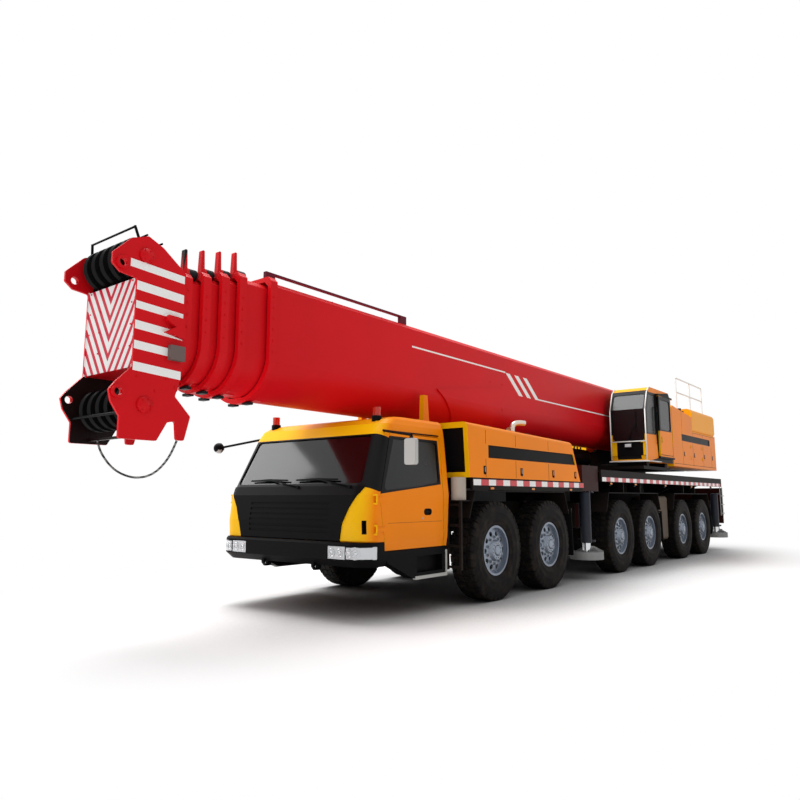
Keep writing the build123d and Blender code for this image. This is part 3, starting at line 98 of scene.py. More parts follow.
# %% Hoist rope
ROPE_R = 0.011
ROPE_ROUTE = [
    (4.973, -0.280, 1.9948), (4.963, -0.262, 1.920), (4.932, -0.208, 1.820), (4.884, -0.127, 1.718),
    (4.828, -0.029, 1.652), (4.762, 0.086, 1.616), (4.697, 0.197, 1.626), (4.645, 0.288, 1.675),
    (4.599, 0.367, 1.765), (4.564, 0.427, 1.875), (4.542, 0.465, 1.9856),
]


def bent(name, route, radius, steps, detail):
    """A rope or pipe along one smooth curve that the points of its route pull into shape."""
    curve = bpy.data.curves.new(name, "CURVE")
    curve.dimensions = "3D"
    spline = curve.splines.new("NURBS")
    spline.points.add(len(route) - 1)
    for point, place in zip(spline.points, route):
        point.co = (*at(*place), 1)
        point.radius = radius
    spline.order_u = 3
    spline.use_endpoint_u = True
    spline.resolution_u = steps
    curve.bevel_depth = 1.0  # times each point's radius
    curve.bevel_resolution = detail
    curve.use_fill_caps = True
    piece = bpy.data.objects.new(name, curve)
    bpy.context.scene.collection.objects.link(piece)
    return piece


rope = bent("slack_hoist_rope", ROPE_ROUTE, ROPE_R, 10, 4)
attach(rope, "section_5")
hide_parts("hoist_rope")
print("rope points", len(ROPE_ROUTE))

# %% [markdown]
# ## Small tools for finishes
# Every finish is a node tree. One function turns a paint chart's hex value into Blender's linear
# numbers, one adds a node with its settings and links, so that a tree reads from top to bottom like a
# recipe, and one starts a material with its shader and the object's own coordinates.

# %% Material helpers
def linear(hex_value):
    """Linear red, green, blue and alpha of an sRGB hex value such as F2A516."""
    parts = [int(hex_value[i:i + 2], 16) / 255 for i in (0, 2, 4)]
    return tuple(c / 12.92 if c <= 0.04045 else ((c + 0.055) / 1.055) ** 2.4 for c in parts) + (1.0,)


def add(tree, kind, settings=None, **inputs):
    """Adds one node, sets its properties, and fills or links its inputs by name or number."""
    node = tree.nodes.new(kind)
    for name, value in (settings or {}).items():
        setattr(node, name, value)
    for name, value in inputs.items():
        key = int(name[1:]) if name[0] == "i" and name[1:].isdigit() else name.replace("_", " ")
        socket = node.inputs[key]
        if isinstance(value, bpy.types.NodeSocket):
            tree.links.new(value, socket)
        else:
            socket.default_value = value
    return node


def new_finish(name):
    """An empty material with its output, its shader and its object coordinates."""
    material = bpy.data.materials.new(name)
    material.use_nodes = True
    tree = material.node_tree
    tree.nodes.clear()
    output = tree.nodes.new("ShaderNodeOutputMaterial")
    shader = tree.nodes.new("ShaderNodeBsdfPrincipled")
    tree.links.new(shader.outputs[0], output.inputs[0])
    place = tree.nodes.new("ShaderNodeTexCoord").outputs["Object"]
    return material, tree, shader, place


print("mid grey is", round(linear("808080")[0], 4), "in linear light")

# %% [markdown]
# ## Masks for painted areas
# On the real crane a stripe is masked off with tape before it is sprayed. Here it could be an image, but
# a few numbers are sharper and travel with the model. An area is a list of bands, each a direction with
# a lower and an upper limit in stations, and it is painted where all its bands hold. The coordinates
# are folded at the middle plane, so the crane's right side follows the numbers of the left.

# %% Mask helpers
FORWARD, LEFT, UP = (1, 0, 0), (0, 1, 0), (0, 0, 1)
COLOUR_MIX = {"data_type": "RGBA"}


def folded_stations(tree, place):
    """Coordinates in stations, with the offset to the left taken without its sign."""
    stations = add(tree, "ShaderNodeVectorMath", {"operation": "SUBTRACT"}, i0=place,
                   i1=(FIRST_AXLE, 0, 0)).outputs[0]
    parts = add(tree, "ShaderNodeSeparateXYZ", i0=stations).outputs
    side = add(tree, "ShaderNodeMath", {"operation": "ABSOLUTE"}, i0=parts[1]).outputs[0]
    return add(tree, "ShaderNodeCombineXYZ", i0=parts[0], i1=side, i2=parts[2]).outputs[0]


def area_mask(tree, stations, areas):
    """1 inside any of the areas, else 0."""
    whole = None
    for bands in areas:
        inside = None
        for direction, low, high in bands:
            along = add(tree, "ShaderNodeVectorMath", {"operation": "DOT_PRODUCT"}, i0=stations,
                        i1=direction).outputs["Value"]
            band = add(tree, "ShaderNodeMath", {"operation": "COMPARE"}, i0=along, i1=(low + high) / 2,
                       i2=(high - low) / 2).outputs[0]
            inside = band if inside is None else add(
                tree, "ShaderNodeMath", {"operation": "MULTIPLY"}, i0=inside, i1=band).outputs[0]
        whole = inside if whole is None else add(
            tree, "ShaderNodeMath", {"operation": "MAXIMUM"}, i0=whole, i1=inside).outputs[0]
    return whole


print("directions", FORWARD, LEFT, UP)

# %% [markdown]
# ## Two-pack enamel
# The boom, cabs and covers are sprayed with polyurethane enamel over primer. It is smooth, with a
# faint orange peel, and drifts a little in tone from panel to panel. The sides are painted a deeper tone
# than the panels that face forwards: painted shade on the sides, painted light on the front. One plain
# colour would look like plastic, so noise moves the tone and the gloss, and dust gathers low down. Each
# stripe is a colour, the areas that it may cover and, where there are several rows of it, the rows.

# %% Enamel
PEEL_SIZE = 0.004  # real peel is about 1 mm; at 4 mm it shows at this distance
PANEL_DRIFT = 1.25  # one change of tone in the length of a panel
DUST_PATCH = 1 / 14  # patches of dried road dust are some 70 mm wide
DUST_HEIGHT = 1.5


def painted(name, side, front, roughness, stripes=(), dust=0.0, gloss=0.12):
    """Sprayed enamel on steel plate, with its stripes laid on in order and road dust at the foot."""
    material, tree, shader, place = new_finish(name)
    normal = tree.nodes.new("ShaderNodeTexCoord").outputs["Normal"]
    # painted light: faces that point forwards get the brighter front colour, and the rest the deeper side
    # colour as painted shade
    facing = add(tree, "ShaderNodeVectorMath", {"operation": "DOT_PRODUCT"}, i0=normal, i1=(1, 0, 0.25))
    painted_light_share = add(tree, "ShaderNodeMapRange", Value=facing.outputs["Value"], i1=0.35, i2=0.95)
    painted_light_base = add(tree, "ShaderNodeMix", COLOUR_MIX, i0=painted_light_share.outputs[0], i6=linear(side),
                 i7=linear(front))
    drift = add(tree, "ShaderNodeTexNoise", Vector=place, Scale=1 / PANEL_DRIFT, Detail=3.0)
    shade = add(tree, "ShaderNodeMapRange", Value=drift.outputs[0], i1=0.3, i2=0.7, i3=0.93, i4=1.05)
    colour = add(tree, "ShaderNodeVectorMath", {"operation": "SCALE"}, i0=painted_light_base.outputs[2],
                 Scale=shade.outputs[0]).outputs[0]
    stations = folded_stations(tree, place)
    for paint, areas, rows in stripes:
        mask = area_mask(tree, stations, areas)
        if rows:
            mask = add(tree, "ShaderNodeMath", {"operation": "MULTIPLY"}, i0=mask,
                       i1=area_mask(tree, stations, rows)).outputs[0]
        colour = add(tree, "ShaderNodeMix", COLOUR_MIX, i0=mask, i6=colour, i7=linear(paint)).outputs[2]
    if dust:
        height = add(tree, "ShaderNodeSeparateXYZ", i0=place).outputs[2]
        low = add(tree, "ShaderNodeMapRange", Value=height, i1=DUST_HEIGHT, i2=0.2, i3=0.0, i4=dust)
        speck = add(tree, "ShaderNodeTexNoise", Vector=place, Scale=1 / DUST_PATCH, Detail=6.0)
        coat = add(tree, "ShaderNodeMath", {"operation": "MULTIPLY"}, i0=low.outputs[0],
                   i1=speck.outputs[0])
        colour = add(tree, "ShaderNodeMix", COLOUR_MIX, i0=coat.outputs[0], i6=colour,
                     i7=linear("6B5F52")).outputs[2]
    tree.links.new(colour, shader.inputs["Base Color"])
    peel = add(tree, "ShaderNodeTexNoise", Vector=place, Scale=1 / PEEL_SIZE, Detail=1.0)
    bump = add(tree, "ShaderNodeBump", Strength=0.08, Distance=0.0006, Height=peel.outputs[0])
    tree.links.new(bump.outputs[0], shader.inputs["Normal"])
    rough = add(tree, "ShaderNodeMapRange", Value=drift.outputs[0], i3=roughness - 0.05,
                i4=roughness + 0.07)
    tree.links.new(rough.outputs[0], shader.inputs["Roughness"])
    shader.inputs["Specular IOR Level"].default_value = gloss
    return material


# painted light: the side colour is a painted shade and the front colour a painted light for the panels that
# face forwards
RED = ("CE0E18", "EA0F1C", 0.40)  # side colour, front colour, roughness
YELLOW = ("F08404", "FBC008", 0.38)

# clean new enamel: deep red with broad soft lights
boom_red = painted("polyurethane_enamel_red_sprayed", *RED)
# the same process in the maker's yellow, painted deeper orange on the sides as painted shade and yellower on
# the forward panels as painted light
cab_yellow = painted("polyurethane_enamel_orange_yellow_sprayed", *YELLOW)
print("enamels", boom_red.name, cab_yellow.name)

# %% [markdown]
# ## Stripes on the boom
# A thin white line runs along the boom, breaks into three slanted slashes and goes on lower down. A
# slash lies between two slanted lines and two heights. The raised rail along the top is left in a dark
# maroon primer.

# %% Boom stripes
WHITE_PAINT = "F0F0EE"
SLASH_LEAN = (1.0, 0.0, -1.31)
SLASH_STARTS = [(-6.908, -6.757), (-7.221, -7.071), (-7.541, -7.391)]
boom_slashes = (WHITE_PAINT, [[(UP, 3.250, 3.610)]],
                [[(SLASH_LEAN, *limits)] for limits in SLASH_STARTS])
boom_lines = (WHITE_PAINT, [[(FORWARD, -2.02, 0.70), (UP, 3.603, 3.627)],
                            [(FORWARD, -7.2, -3.25), (UP, 3.250, 3.274)]], ())
boom_rail = ("5E0C22", [[(FORWARD, 0.72, 3.44), (LEFT, 0.38, 0.47), (UP, 3.94, 4.10)]], ())
# white two-pack over the red: crisp edges, the same peel and gloss
boom_striped = painted("polyurethane_enamel_red_white_lines", *RED, (boom_slashes, boom_lines, boom_rail))
print("boom slashes", len(SLASH_STARTS))

# %% [markdown]
# ## Warning bars and chevrons on the boom head
# The side plates carry white bars on the red enamel, and the board between them carries red chevrons
# on white that point down. A bar falls a little towards the front, so its direction leans. A chevron
# is a band of height less distance from the middle, and folding gives it both arms.

# %% Head stripes
HEAD_BARS = [(3.63, 3.71), (3.42, 3.51), (3.235, 3.31), (3.03, 3.115), (2.833, 2.915), (2.62, 2.705)]
BAR_FALL, BAR_STATION = 0.06, 4.8  # metres down per metre forward; heights are read at this station
CHEVRON_LEAN = (0, -1.55, 1)
CHEVRON_PITCH, CHEVRON_RED = 0.196, 0.43  # metres, and the red share of a pitch
BOARD = [(FORWARD, 5.066, 5.08), (LEFT, -0.46, 0.46), (UP, 2.66, 3.57)]

side_plate = [[(FORWARD, 4.54, 5.071), (LEFT, 0.470, 0.49), (UP, 2.55, 3.60)],
              [(FORWARD, 4.54, 5.150), (LEFT, 0.470, 0.49), (UP, 3.60, 3.76)]]
drop = BAR_FALL * BAR_STATION
head_bars = (WHITE_PAINT, side_plate,
             [[((-BAR_FALL, 0, 1), low - drop, high - drop)] for low, high in HEAD_BARS])
head_board = ("F2F0EF", [BOARD], ())
chevron_starts = [0.03 + CHEVRON_PITCH * k for k in range(9, 19)]
head_chevrons = ("CF1B3A", [BOARD],
                 [[(CHEVRON_LEAN, low, low + CHEVRON_PITCH * CHEVRON_RED)] for low in chevron_starts])
# painted shade: the side plates' inner faces round the sheaves are painted near black where they lie in shade
head_inside_painted_shade = ("1A0D0D", [[(LEFT, -0.1, 0.4505)]], [[(FORWARD, 4.6, 5.03), (UP, 3.562, 4.05)],
                                                   [(FORWARD, 4.6, 5.4), (UP, 1.9, 2.668)]])
# bars and chevrons are sprayed through a mask, so they share the red's gloss
head_red = painted("polyurethane_enamel_red_warning_bars", *RED,
                   (head_bars, head_board, head_chevrons, head_inside_painted_shade))
print("head bars", len(HEAD_BARS), "chevrons", len(chevron_starts))

# %% [markdown]
# ## Black round the driver's cab glass
# The pillars between the windscreen and the door glass, and a margin round each window, are black, so
# that the glass reads as one dark band. The sides lean in above the waist, so bands by height and
# station serve the whole shell. The slot in each yellow front corner is painted dark as painted shade,
# and a painted shadow line marks the pressed swage below the door's handle.

# %% Cab masks
GLASS_BLACK = "0E0E10"
cab_pillars = (GLASS_BLACK, [[((1, 0, 0.41), 2.925, 4.0), ((-0.42, 0, 1), 0.50, 1.28),
                              (UP, 1.49, 2.195)]], ())
# painted shade: the recessed slot in each front corner is painted dark brown
corner_slot_painted_shade = ("120A06", [[(FORWARD, 2.40, 2.62), (LEFT, 1.198, 1.240), (UP, 1.000, 1.158)]], ())
door_margin = (GLASS_BLACK, [[((0.101, 0, 1), 1.70, 3.0), (UP, 1.0, 2.172), ((1, 0, 0.07), 1.193, 4.0)]], ())
# painted shadow: a thin darker line under the pressed swage
swage_painted_shadow = ("A85E10", [[(UP, 1.115, 1.122), (FORWARD, 1.1, 2.2)]], ())
# black over yellow in one coat: the edge is sharp and the gloss the same
cab_shell_paint = painted("polyurethane_enamel_yellow_black_pillars", *YELLOW, (cab_pillars, corner_slot_painted_shade))
door_paint = painted("polyurethane_enamel_yellow_black_window", *YELLOW, (door_margin, swage_painted_shadow))
print("cab enamels", cab_shell_paint.name, door_paint.name)

# %% [markdown]
# ## Black and yellow on the superstructure
# The crane cab is black round its windscreen, its side windows and the panel below the screen, and its
# sliding door round the pane. The oil tank on top of the house is sprayed a brighter yellow, and a bare
# black band runs along the house and its vents.

# %% Crane cab and house masks
SCREEN_BLACK = "0C0C0E"
crane_cab_black = (SCREEN_BLACK, [[((1, 0, 0.44), -4.94, 0.0), (UP, 2.63, 3.80)],
                                  [(FORWARD, -7.10, -6.30), ((0.02, 0, 1), 2.66, 3.60)],
                                  [(FORWARD, -6.47, -6.39), (LEFT, 0.81, 1.34), (UP, 2.245, 2.64)]], ())
crane_door_black = (SCREEN_BLACK, [[(FORWARD, -7.96, -7.0), ((0.02, 0, 1), 2.76, 3.55)]], ())
tank_yellow = ("F6A20A", [[(FORWARD, -12.0, -9.79), (LEFT, 0.6, 1.5), (UP, 3.0605, 3.70)]], ())
house_band = ("0D0D0F", [[(FORWARD, -11.39, -8.89), (LEFT, 1.40, 1.50), (UP, 2.792, 2.958)]], ())
# all three are the same enamel as the driver's cab, so they match it in gloss and peel
crane_cab_paint = painted("polyurethane_enamel_yellow_black_screen", *YELLOW, (crane_cab_black,))
crane_door_paint = painted("polyurethane_enamel_yellow_black_pane", *YELLOW, (crane_door_black,))
house_paint = painted("polyurethane_enamel_yellow_black_band", *YELLOW, (tank_yellow, house_band))
print("superstructure enamels", crane_cab_paint.name, crane_door_paint.name, house_paint.name)

# %% [markdown]
# ## Frame, tanks and small parts
# The frame and what hangs on it get a duller chassis enamel that takes road dust, and small parts are
# powder coated. They are the same tree with other colours, a rougher surface and more dust.

# %% Chassis enamels and powder coats
# satin topcoat on trim: almost no gloss, so edges stay soft
satin_black = painted("satin_black_enamel_sprayed", "090909", "0D0D0E", 0.45, gloss=0.06)
# brown-black chassis enamel: dull, with dust low down
chassis_black = painted("chassis_enamel_brown_black_sprayed", "130E0C", "171210", 0.55, dust=0.2, gloss=0.08)
# maroon of the outrigger beams and tail board: a dark red that shows only in the light
maroon = painted("chassis_enamel_maroon_sprayed", "2E0E0B", "36120F", 0.5, dust=0.2, gloss=0.10)
# khaki tank enamel: matt and dusty
khaki = painted("tank_enamel_khaki_sprayed", "4A3B2C", "50402F", 0.5, dust=0.4)
# powder coats: even, slightly pebbled, pale
canister_grey = painted("powder_coat_warm_grey", "A89E92", "B8AEA2", 0.5)
pale_steel = painted("powder_coat_pale_grey", "B4B4B0", "C4C4C0", 0.45)
rail_white = painted("powder_coat_white", "E4E4E0", "ECECE8", 0.45)
box_brown = painted("junction_box_enamel_grey_brown", "6E5F5B", "786966", 0.5)
# enamel on rough castings: the float is grey and scuffed, the jack's tube blue-black
float_grey = painted("cast_float_enamel_light_grey", "8A8B8C", "9C9D9D", 0.5, dust=0.3)
jack_blue = painted("jack_enamel_blue_black", "222630", "2A2F3A", 0.4, dust=0.3)
print("finishes", len(bpy.data.materials))

# %% [markdown]
# ## Bare and moulded materials
# Plastic, rubber, cast steel and chrome each start from their real surface: a moulded grain on the
# bumper, fine dust in the tyre's rubber, a polished rod. One recipe serves them all: a base colour that
# drifts, a bump of the grain's own size and, on the tyres, dust in patches.

# %% Plain materials
TONE_DRIFT = 1 / 3  # the tone changes over a third of a metre
DUST_CLOUD = 1 / 9  # dust lies in clouds of about 110 mm


def surfaced(name, colours, roughness, metallic, grain, depth, dusty=0.0, gloss=0.5):
    """A base colour that drifts, with a bump of the given grain size and depth in metres."""
    material, tree, shader, place = new_finish(name)
    drift = add(tree, "ShaderNodeTexNoise", Vector=place, Scale=1 / TONE_DRIFT, Detail=4.0)
    colour = add(tree, "ShaderNodeMix", COLOUR_MIX, i0=drift.outputs[0], i6=linear(colours[0]),
                 i7=linear(colours[1])).outputs[2]
    texture = add(tree, "ShaderNodeTexNoise", Vector=place, Scale=1 / grain, Detail=2.0)
    if dusty:
        cloud = add(tree, "ShaderNodeTexNoise", Vector=place, Scale=1 / DUST_CLOUD, Detail=8.0)
        amount = add(tree, "ShaderNodeMapRange", Value=cloud.outputs[0], i1=0.45, i2=0.75, i3=0.0,
                     i4=dusty)
        colour = add(tree, "ShaderNodeMix", COLOUR_MIX, i0=amount.outputs[0], i6=colour,
                     i7=linear("5A4E42")).outputs[2]
    tree.links.new(colour, shader.inputs["Base Color"])
    bump = add(tree, "ShaderNodeBump", Strength=0.5, Distance=depth, Height=texture.outputs[0])
    tree.links.new(bump.outputs[0], shader.inputs["Normal"])
    shader.inputs["Roughness"].default_value = roughness
    shader.inputs["Metallic"].default_value = metallic
    shader.inputs["Specular IOR Level"].default_value = gloss
    return material


# moulded with a leather grain of 3 mm: dull, with wide soft lights
black_plastic = surfaced("moulded_polypropylene_black_grained", ("070708", "0C0C0E"), 0.5, 0.0,
                         0.003, 0.0003, gloss=0.06)
# extruded rubber: matt and smooth
seal_rubber = surfaced("extruded_rubber_seal_black", ("0B0B0B", "121212"), 0.65, 0.0, 0.002, 0.0001,
                       gloss=0.1)
# vulcanised in a mould and driven on: matt, brownish where dust clings
tyre_rubber = surfaced("tyre_rubber_moulded", ("0D0B0B", "151211"), 0.75, 0.0, 0.004, 0.0006, 0.16, 0.12)
# metallic wheel enamel: half a metal's gleam
rim_silver = surfaced("wheel_enamel_silver_sprayed", ("747E8D", "939CA9"), 0.34, 0.55, 0.004, 0.0001, 0.2)
# zinc plate: pale grey metal with a blurred gleam
zinc_bolt = surfaced("zinc_plated_steel_bolts", ("8D9094", "A9ACB0"), 0.4, 0.9, 0.004, 0.0001)
# sand-cast steel: pebbled under its paint, dust in the hollows
cast_steel = surfaced("cast_steel_painted_grey", ("3A3C3F", "4A4C4F"), 0.55, 0.2, 0.006, 0.0006, 0.3)
# cast nylon: black, waxy, barely glossy
sheave_nylon = surfaced("cast_nylon_sheave_black", ("0C0C0D", "141416"), 0.45, 0.0, 0.004, 0.0002,
                        gloss=0.15)
# ground and polished hard chrome: a mirror with a faint haze
chrome = surfaced("chromed_piston_rod_polished", ("C8CACC", "D9DBDD"), 0.14, 1.0, 0.01, 0.00002)
# brushed stainless, gone warm from heat
exhaust_steel = surfaced("stainless_exhaust_brushed", ("C9C2B6", "DAD4C8"), 0.32, 0.85, 0.003, 0.0001)
# woven cloth: no gloss, a thread every 3 mm
seat_cloth = surfaced("woven_seat_cloth_charcoal", ("26282C", "34373C"), 0.9, 0.0, 0.003, 0.0006)
# grained dashboard plastic: matt grey
dash_plastic = surfaced("moulded_dash_plastic_grey", ("2B2D30", "36383C"), 0.6, 0.0, 0.002, 0.0002)
# silvered glass: a clean mirror
mirror_glass = surfaced("silvered_mirror_glass", ("D5DADF", "E2E6EA"), 0.03, 1.0, 0.05, 0.00001)
print("finishes", len(bpy.data.materials))

# %% [markdown]
# ## Glass and lenses
# The panes are laminated glass tinted dark, and the lamps have moulded lenses. Light passes through
# them and is darkened, while the surface keeps its gloss, so transmission goes with a dark or bright
# base colour. A slow noise changes the roughness like wiped glass.

# %% Glass
SMEAR = 0.45  # a wiper's smear is about half a metre long


def pane(name, tint, through, roughness, mirror=0.5):
    """Tinted glass or a lens: light passes, is darkened by the tint, and the surface stays glossy."""
    material, tree, shader, place = new_finish(name)
    smear = add(tree, "ShaderNodeTexNoise", Vector=place, Scale=1 / SMEAR, Detail=2.0)
    rough = add(tree, "ShaderNodeMapRange", Value=smear.outputs[0], i3=roughness, i4=roughness + 0.05)
    tree.links.new(rough.outputs[0], shader.inputs["Roughness"])
    deep = add(tree, "ShaderNodeMix", COLOUR_MIX, i0=smear.outputs[0], i6=linear(tint[0]),
               i7=linear(tint[1]))
    tree.links.new(deep.outputs[2], shader.inputs["Base Color"])
    shader.inputs["Transmission Weight"].default_value = through
    shader.inputs["Specular IOR Level"].default_value = mirror
    shader.inputs["IOR"].default_value = 1.5
    return material


# laminated windscreen: dark, with the sky's clear reflection
tinted_glass = pane("laminated_glass_tinted_dark", ("14181A", "0E1112"), 0.6, 0.05)
# toughened side glass: dark, its reflection soft
side_glass = pane("safety_glass_tinted_grey", ("14181C", "0E1114"), 0.6, 0.24, 0.1)
# clear polycarbonate over a reflector: pale and glassy
lamp_lens = pane("polycarbonate_lens_clear", ("F4F6F8", "E2E7EC"), 0.25, 0.10)
# dyed acrylic: the colour glows where light passes
beacon_orange = pane("acrylic_beacon_red_orange", ("E2381A", "C92A12"), 0.3, 0.15)
tail_red = pane("acrylic_tail_lens_red", ("B3121A", "8E0D13"), 0.3, 0.2)
amber = pane("acrylic_reflector_amber", ("F08A12", "D8740A"), 0.2, 0.2)
print("finishes", len(bpy.data.materials))

# %% [markdown]
# ## Reflective tape
# Retro-reflective tape is a field of tiny glass cells under a clear film. The cells are really 4 mm
# wide, and a Voronoi texture draws them at 12.5 mm so that they show.

# %% Tape
TAPE_CELL = 0.0125


def tape(name, colour):
    """Tape of one colour with its honeycomb of cells."""
    material, tree, shader, place = new_finish(name)
    cells = add(tree, "ShaderNodeTexVoronoi", {"feature": "DISTANCE_TO_EDGE"}, Vector=place,
                Scale=1 / TAPE_CELL)
    edge = add(tree, "ShaderNodeMapRange", Value=cells.outputs[0], i1=0.0, i2=0.12, i3=0.8, i4=1.0)
    shade = add(tree, "ShaderNodeVectorMath", {"operation": "SCALE"}, i0=linear(colour)[:3],
                Scale=edge.outputs[0])
    tree.links.new(shade.outputs[0], shader.inputs["Base Color"])
    shader.inputs["Roughness"].default_value = 0.3
    return material


# bright film with darker cell walls: it looks pale grey up close and white from afar
tape_white = tape("reflective_tape_white", "EDEBEA")
tape_red = tape("reflective_tape_red", "C8242E")
print("tape", tape_white.name, tape_red.name)

# %% [markdown]
# ## Chequer plate
# The decks are rolled steel plate with a raised diamond pattern that keeps boots from slipping. A
# Voronoi texture with no randomness and a Manhattan distance is a regular field of diamonds.

# %% Chequer plate
CHEQUER_PITCH = 0.045
# painted chequer plate: dull black with paler, worn diamonds
chequer, chequer_tree, chequer_shader, chequer_place = new_finish("chequer_plate_black_painted")
diamonds = add(chequer_tree, "ShaderNodeTexVoronoi", {"distance": "MANHATTAN"}, Vector=chequer_place,
               Scale=1 / CHEQUER_PITCH, Randomness=0.0)
raised = add(chequer_tree, "ShaderNodeMapRange", Value=diamonds.outputs[0], i1=0.34, i2=0.24)
worn = add(chequer_tree, "ShaderNodeMix", COLOUR_MIX, i0=raised.outputs[0], i6=linear("1A1513"),
           i7=linear("3A3431"))
chequer_tree.links.new(worn.outputs[2], chequer_shader.inputs["Base Color"])
chequer_bump = add(chequer_tree, "ShaderNodeBump", Strength=0.8, Distance=0.002, Height=raised.outputs[0])
chequer_tree.links.new(chequer_bump.outputs[0], chequer_shader.inputs["Normal"])
chequer_shader.inputs["Roughness"].default_value = 0.5
print("diamonds every", CHEQUER_PITCH, "m")

# %% [markdown]
# ## Wire rope
# Six strands are laid round a core, so light catches a slanting rib every 25 mm or so. A wave texture
# on the object's own coordinates, with its bands slanted, draws those ribs as bump and grease.

# %% Wire rope
STRAND_PITCH = 0.026
HALF_WAVE = 0.314  # half the wave texture's own period
# greased steel: dark in the grooves, grey metal on the strands
wire_rope, wire_tree, wire_shader, wire_place = new_finish("steel_wire_rope_greased")
strands = add(wire_tree, "ShaderNodeTexWave", {"bands_direction": "DIAGONAL"}, Vector=wire_place,
              Scale=HALF_WAVE / STRAND_PITCH, Distortion=0.3)
grease = add(wire_tree, "ShaderNodeMix", COLOUR_MIX, i0=strands.outputs[1], i6=linear("2A2A2A"),
             i7=linear("8C8C8A"))
wire_tree.links.new(grease.outputs[2], wire_shader.inputs["Base Color"])
wire_bump = add(wire_tree, "ShaderNodeBump", Strength=0.9, Distance=0.002, Height=strands.outputs[1])
wire_tree.links.new(wire_bump.outputs[0], wire_shader.inputs["Normal"])
wire_shader.inputs["Metallic"].default_value = 0.7
wire_shader.inputs["Roughness"].default_value = 0.42
rope.data.materials.append(wire_rope)
print("finishes", len(bpy.data.materials))

# %% [markdown]
# ## Dressing the carried-over pieces
# A CAD node has one finish, or a few where the real piece has. Each extra finish is a slot of its own
# that the faces in a given box of stations take. The boxes are folded: both sides of the crane follow
# the left side's numbers.

# %% Finish by node and by place
NODE_FINISH = {
    "boom_base": [boom_striped],
    "boom_head": [head_red, satin_black, box_brown],
    "luffing_barrel": [satin_black],
    "luffing_rod": [chrome],
    "carrier_cab": [cab_shell_paint, satin_black, pale_steel],
    "carrier_door_left": [door_paint, satin_black], "carrier_door_right": [door_paint, satin_black],
    "carrier_cab_glass": [tinted_glass], "crane_cab_glass": [side_glass],
    "carrier_cab_interior": [dash_plastic, seat_cloth],
    "crane_cab_interior": [seat_cloth],
    "front_bumper": [black_plastic, pale_steel],
    "lamps": [lamp_lens, beacon_orange, tail_red],
    "engine_cover": [cab_yellow, satin_black, exhaust_steel],
    "decks": [chassis_black, chequer, canister_grey],
    "chassis_frame": [chassis_black, khaki, maroon, cab_yellow],
    "axle_beams": [chassis_black], "engine_block": [cast_steel], "turntable": [chassis_black],
    "crane_cab": [crane_cab_paint, satin_black], "crane_cab_door": [crane_door_paint, satin_black],
    "machinery_house": [house_paint, satin_black, rail_white],
    "winch": [cast_steel], "head_sheaves": [sheave_nylon],
}
ANY_STATION = (-20, 20)
PLACES = {
    # node: rows of (slot, x limits, y limits, z limits) for the middle of a face
    "carrier_cab": [(1, (1.9, 2.45), (1.21, 1.9), (2.04, 2.30)),
                    (1, (1.9, 2.1), (0.86, 1.02), (2.37, 2.47)),
                    (2, (2.30, 2.40), (1.68, 1.85), (1.78, 2.10)),
                    (1, (2.25, 2.45), (1.69, 1.85), (2.105, 2.21))],
    "carrier_door_left": [(1, (1.3, 1.5), (1.270, 1.299), (1.15, 1.34))],
    "carrier_door_right": [(1, (1.3, 1.5), (1.270, 1.299), (1.15, 1.34))],
    "carrier_cab_interior": [(1, (1.1, 1.75), (0, 2), (0.8, 2.0))],
    "front_bumper": [(1, (0.97, 1.67), (1.2545, 1.31), (0.41, 0.461)),
                     (1, (0.97, 1.012), (1.2545, 1.31), (0.41, 0.751))],
    "lamps": [(1, (1.9, 2.1), (0.8, 1.0), (2.4, 2.6)), (2, (-13, -12), (0, 2), (1, 2))],
    "engine_cover": [(1, (-2.65, 0.24), (1.4840, 1.4870), (1.9, 2.2)),
                     (1, (0.68, 0.78), (0.76, 1.44), (1.75, 2.37)),
                     (2, (-1.42, -1.2), (0.94, 1.06), (2.372, 2.56))],
    "decks": [(1, (-13, 1), (0, 1.49), (1.6895, 1.6905)), (1, (-13, 1), (0, 1.49), (1.9295, 1.9305)),
              (2, (0.63, 0.85), (1.22, 1.44), (1.3852, 1.70))],
    "chassis_frame": [(1, (-7.76, -7.14), (0.90, 1.41), (0.47, 1.46)),
                      (2, (-3.75, -3.03), (0.43, 1.45), (1.5305, 2.0)),
                      (2, (-12.56, -12.51), (0, 1.5), (0.95, 1.7)),
                      (3, (0.40, 0.63), (0, 0.7), (1.36, 2.95))],
    "crane_cab": [(1, (-6.42, -6.38), (0.86, 1.40), (2.32, 2.62)),
                  (1, (-8.2, -7.0), (1.474, 1.55), (2.2, 3.8))],
    "crane_cab_door": [(1, (-7.30, -7.20), (1.50, 1.514), (2.63, 2.77))],
    "machinery_house": [(1, (-9.66, -9.2), (1.2, 1.4), (3.46, 3.66)),
                        (2, (-11.5, -9.1), (1.30, 1.36), (3.665, 4.42))],
    "boom_head": [(1, (5.02, 5.12), (0.0, 0.47), (3.95, 4.2)),
                  (2, (4.53, 4.71), (0.4805, 0.55), (2.78, 2.95)),
                  (1, (5.15, 5.19), (0.0, 0.449), (2.2, 2.24))],
}


def dress(name, finishes):
    """Gives a carried-over node its finishes, sorting its faces by the rows of PLACES."""
    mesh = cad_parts[name].data
    mesh.materials.clear()
    for finish in finishes:
        mesh.materials.append(finish)
    rows = PLACES.get(name, ())
    slots = [0] * len(mesh.polygons)
    for number, polygon in enumerate(mesh.polygons if rows else ()):
        spot = polygon.center
        x, y, z = spot.x - FIRST_AXLE, abs(spot.y), spot.z
        for slot, x_limits, y_limits, z_limits in rows:
            if (x_limits[0] <= x <= x_limits[1] and y_limits[0] <= y <= y_limits[1]
                    and z_limits[0] <= z <= z_limits[1]):
                slots[number] = slot
    mesh.polygons.foreach_set("material_index", slots)


print("nodes with places of their own", len(PLACES))

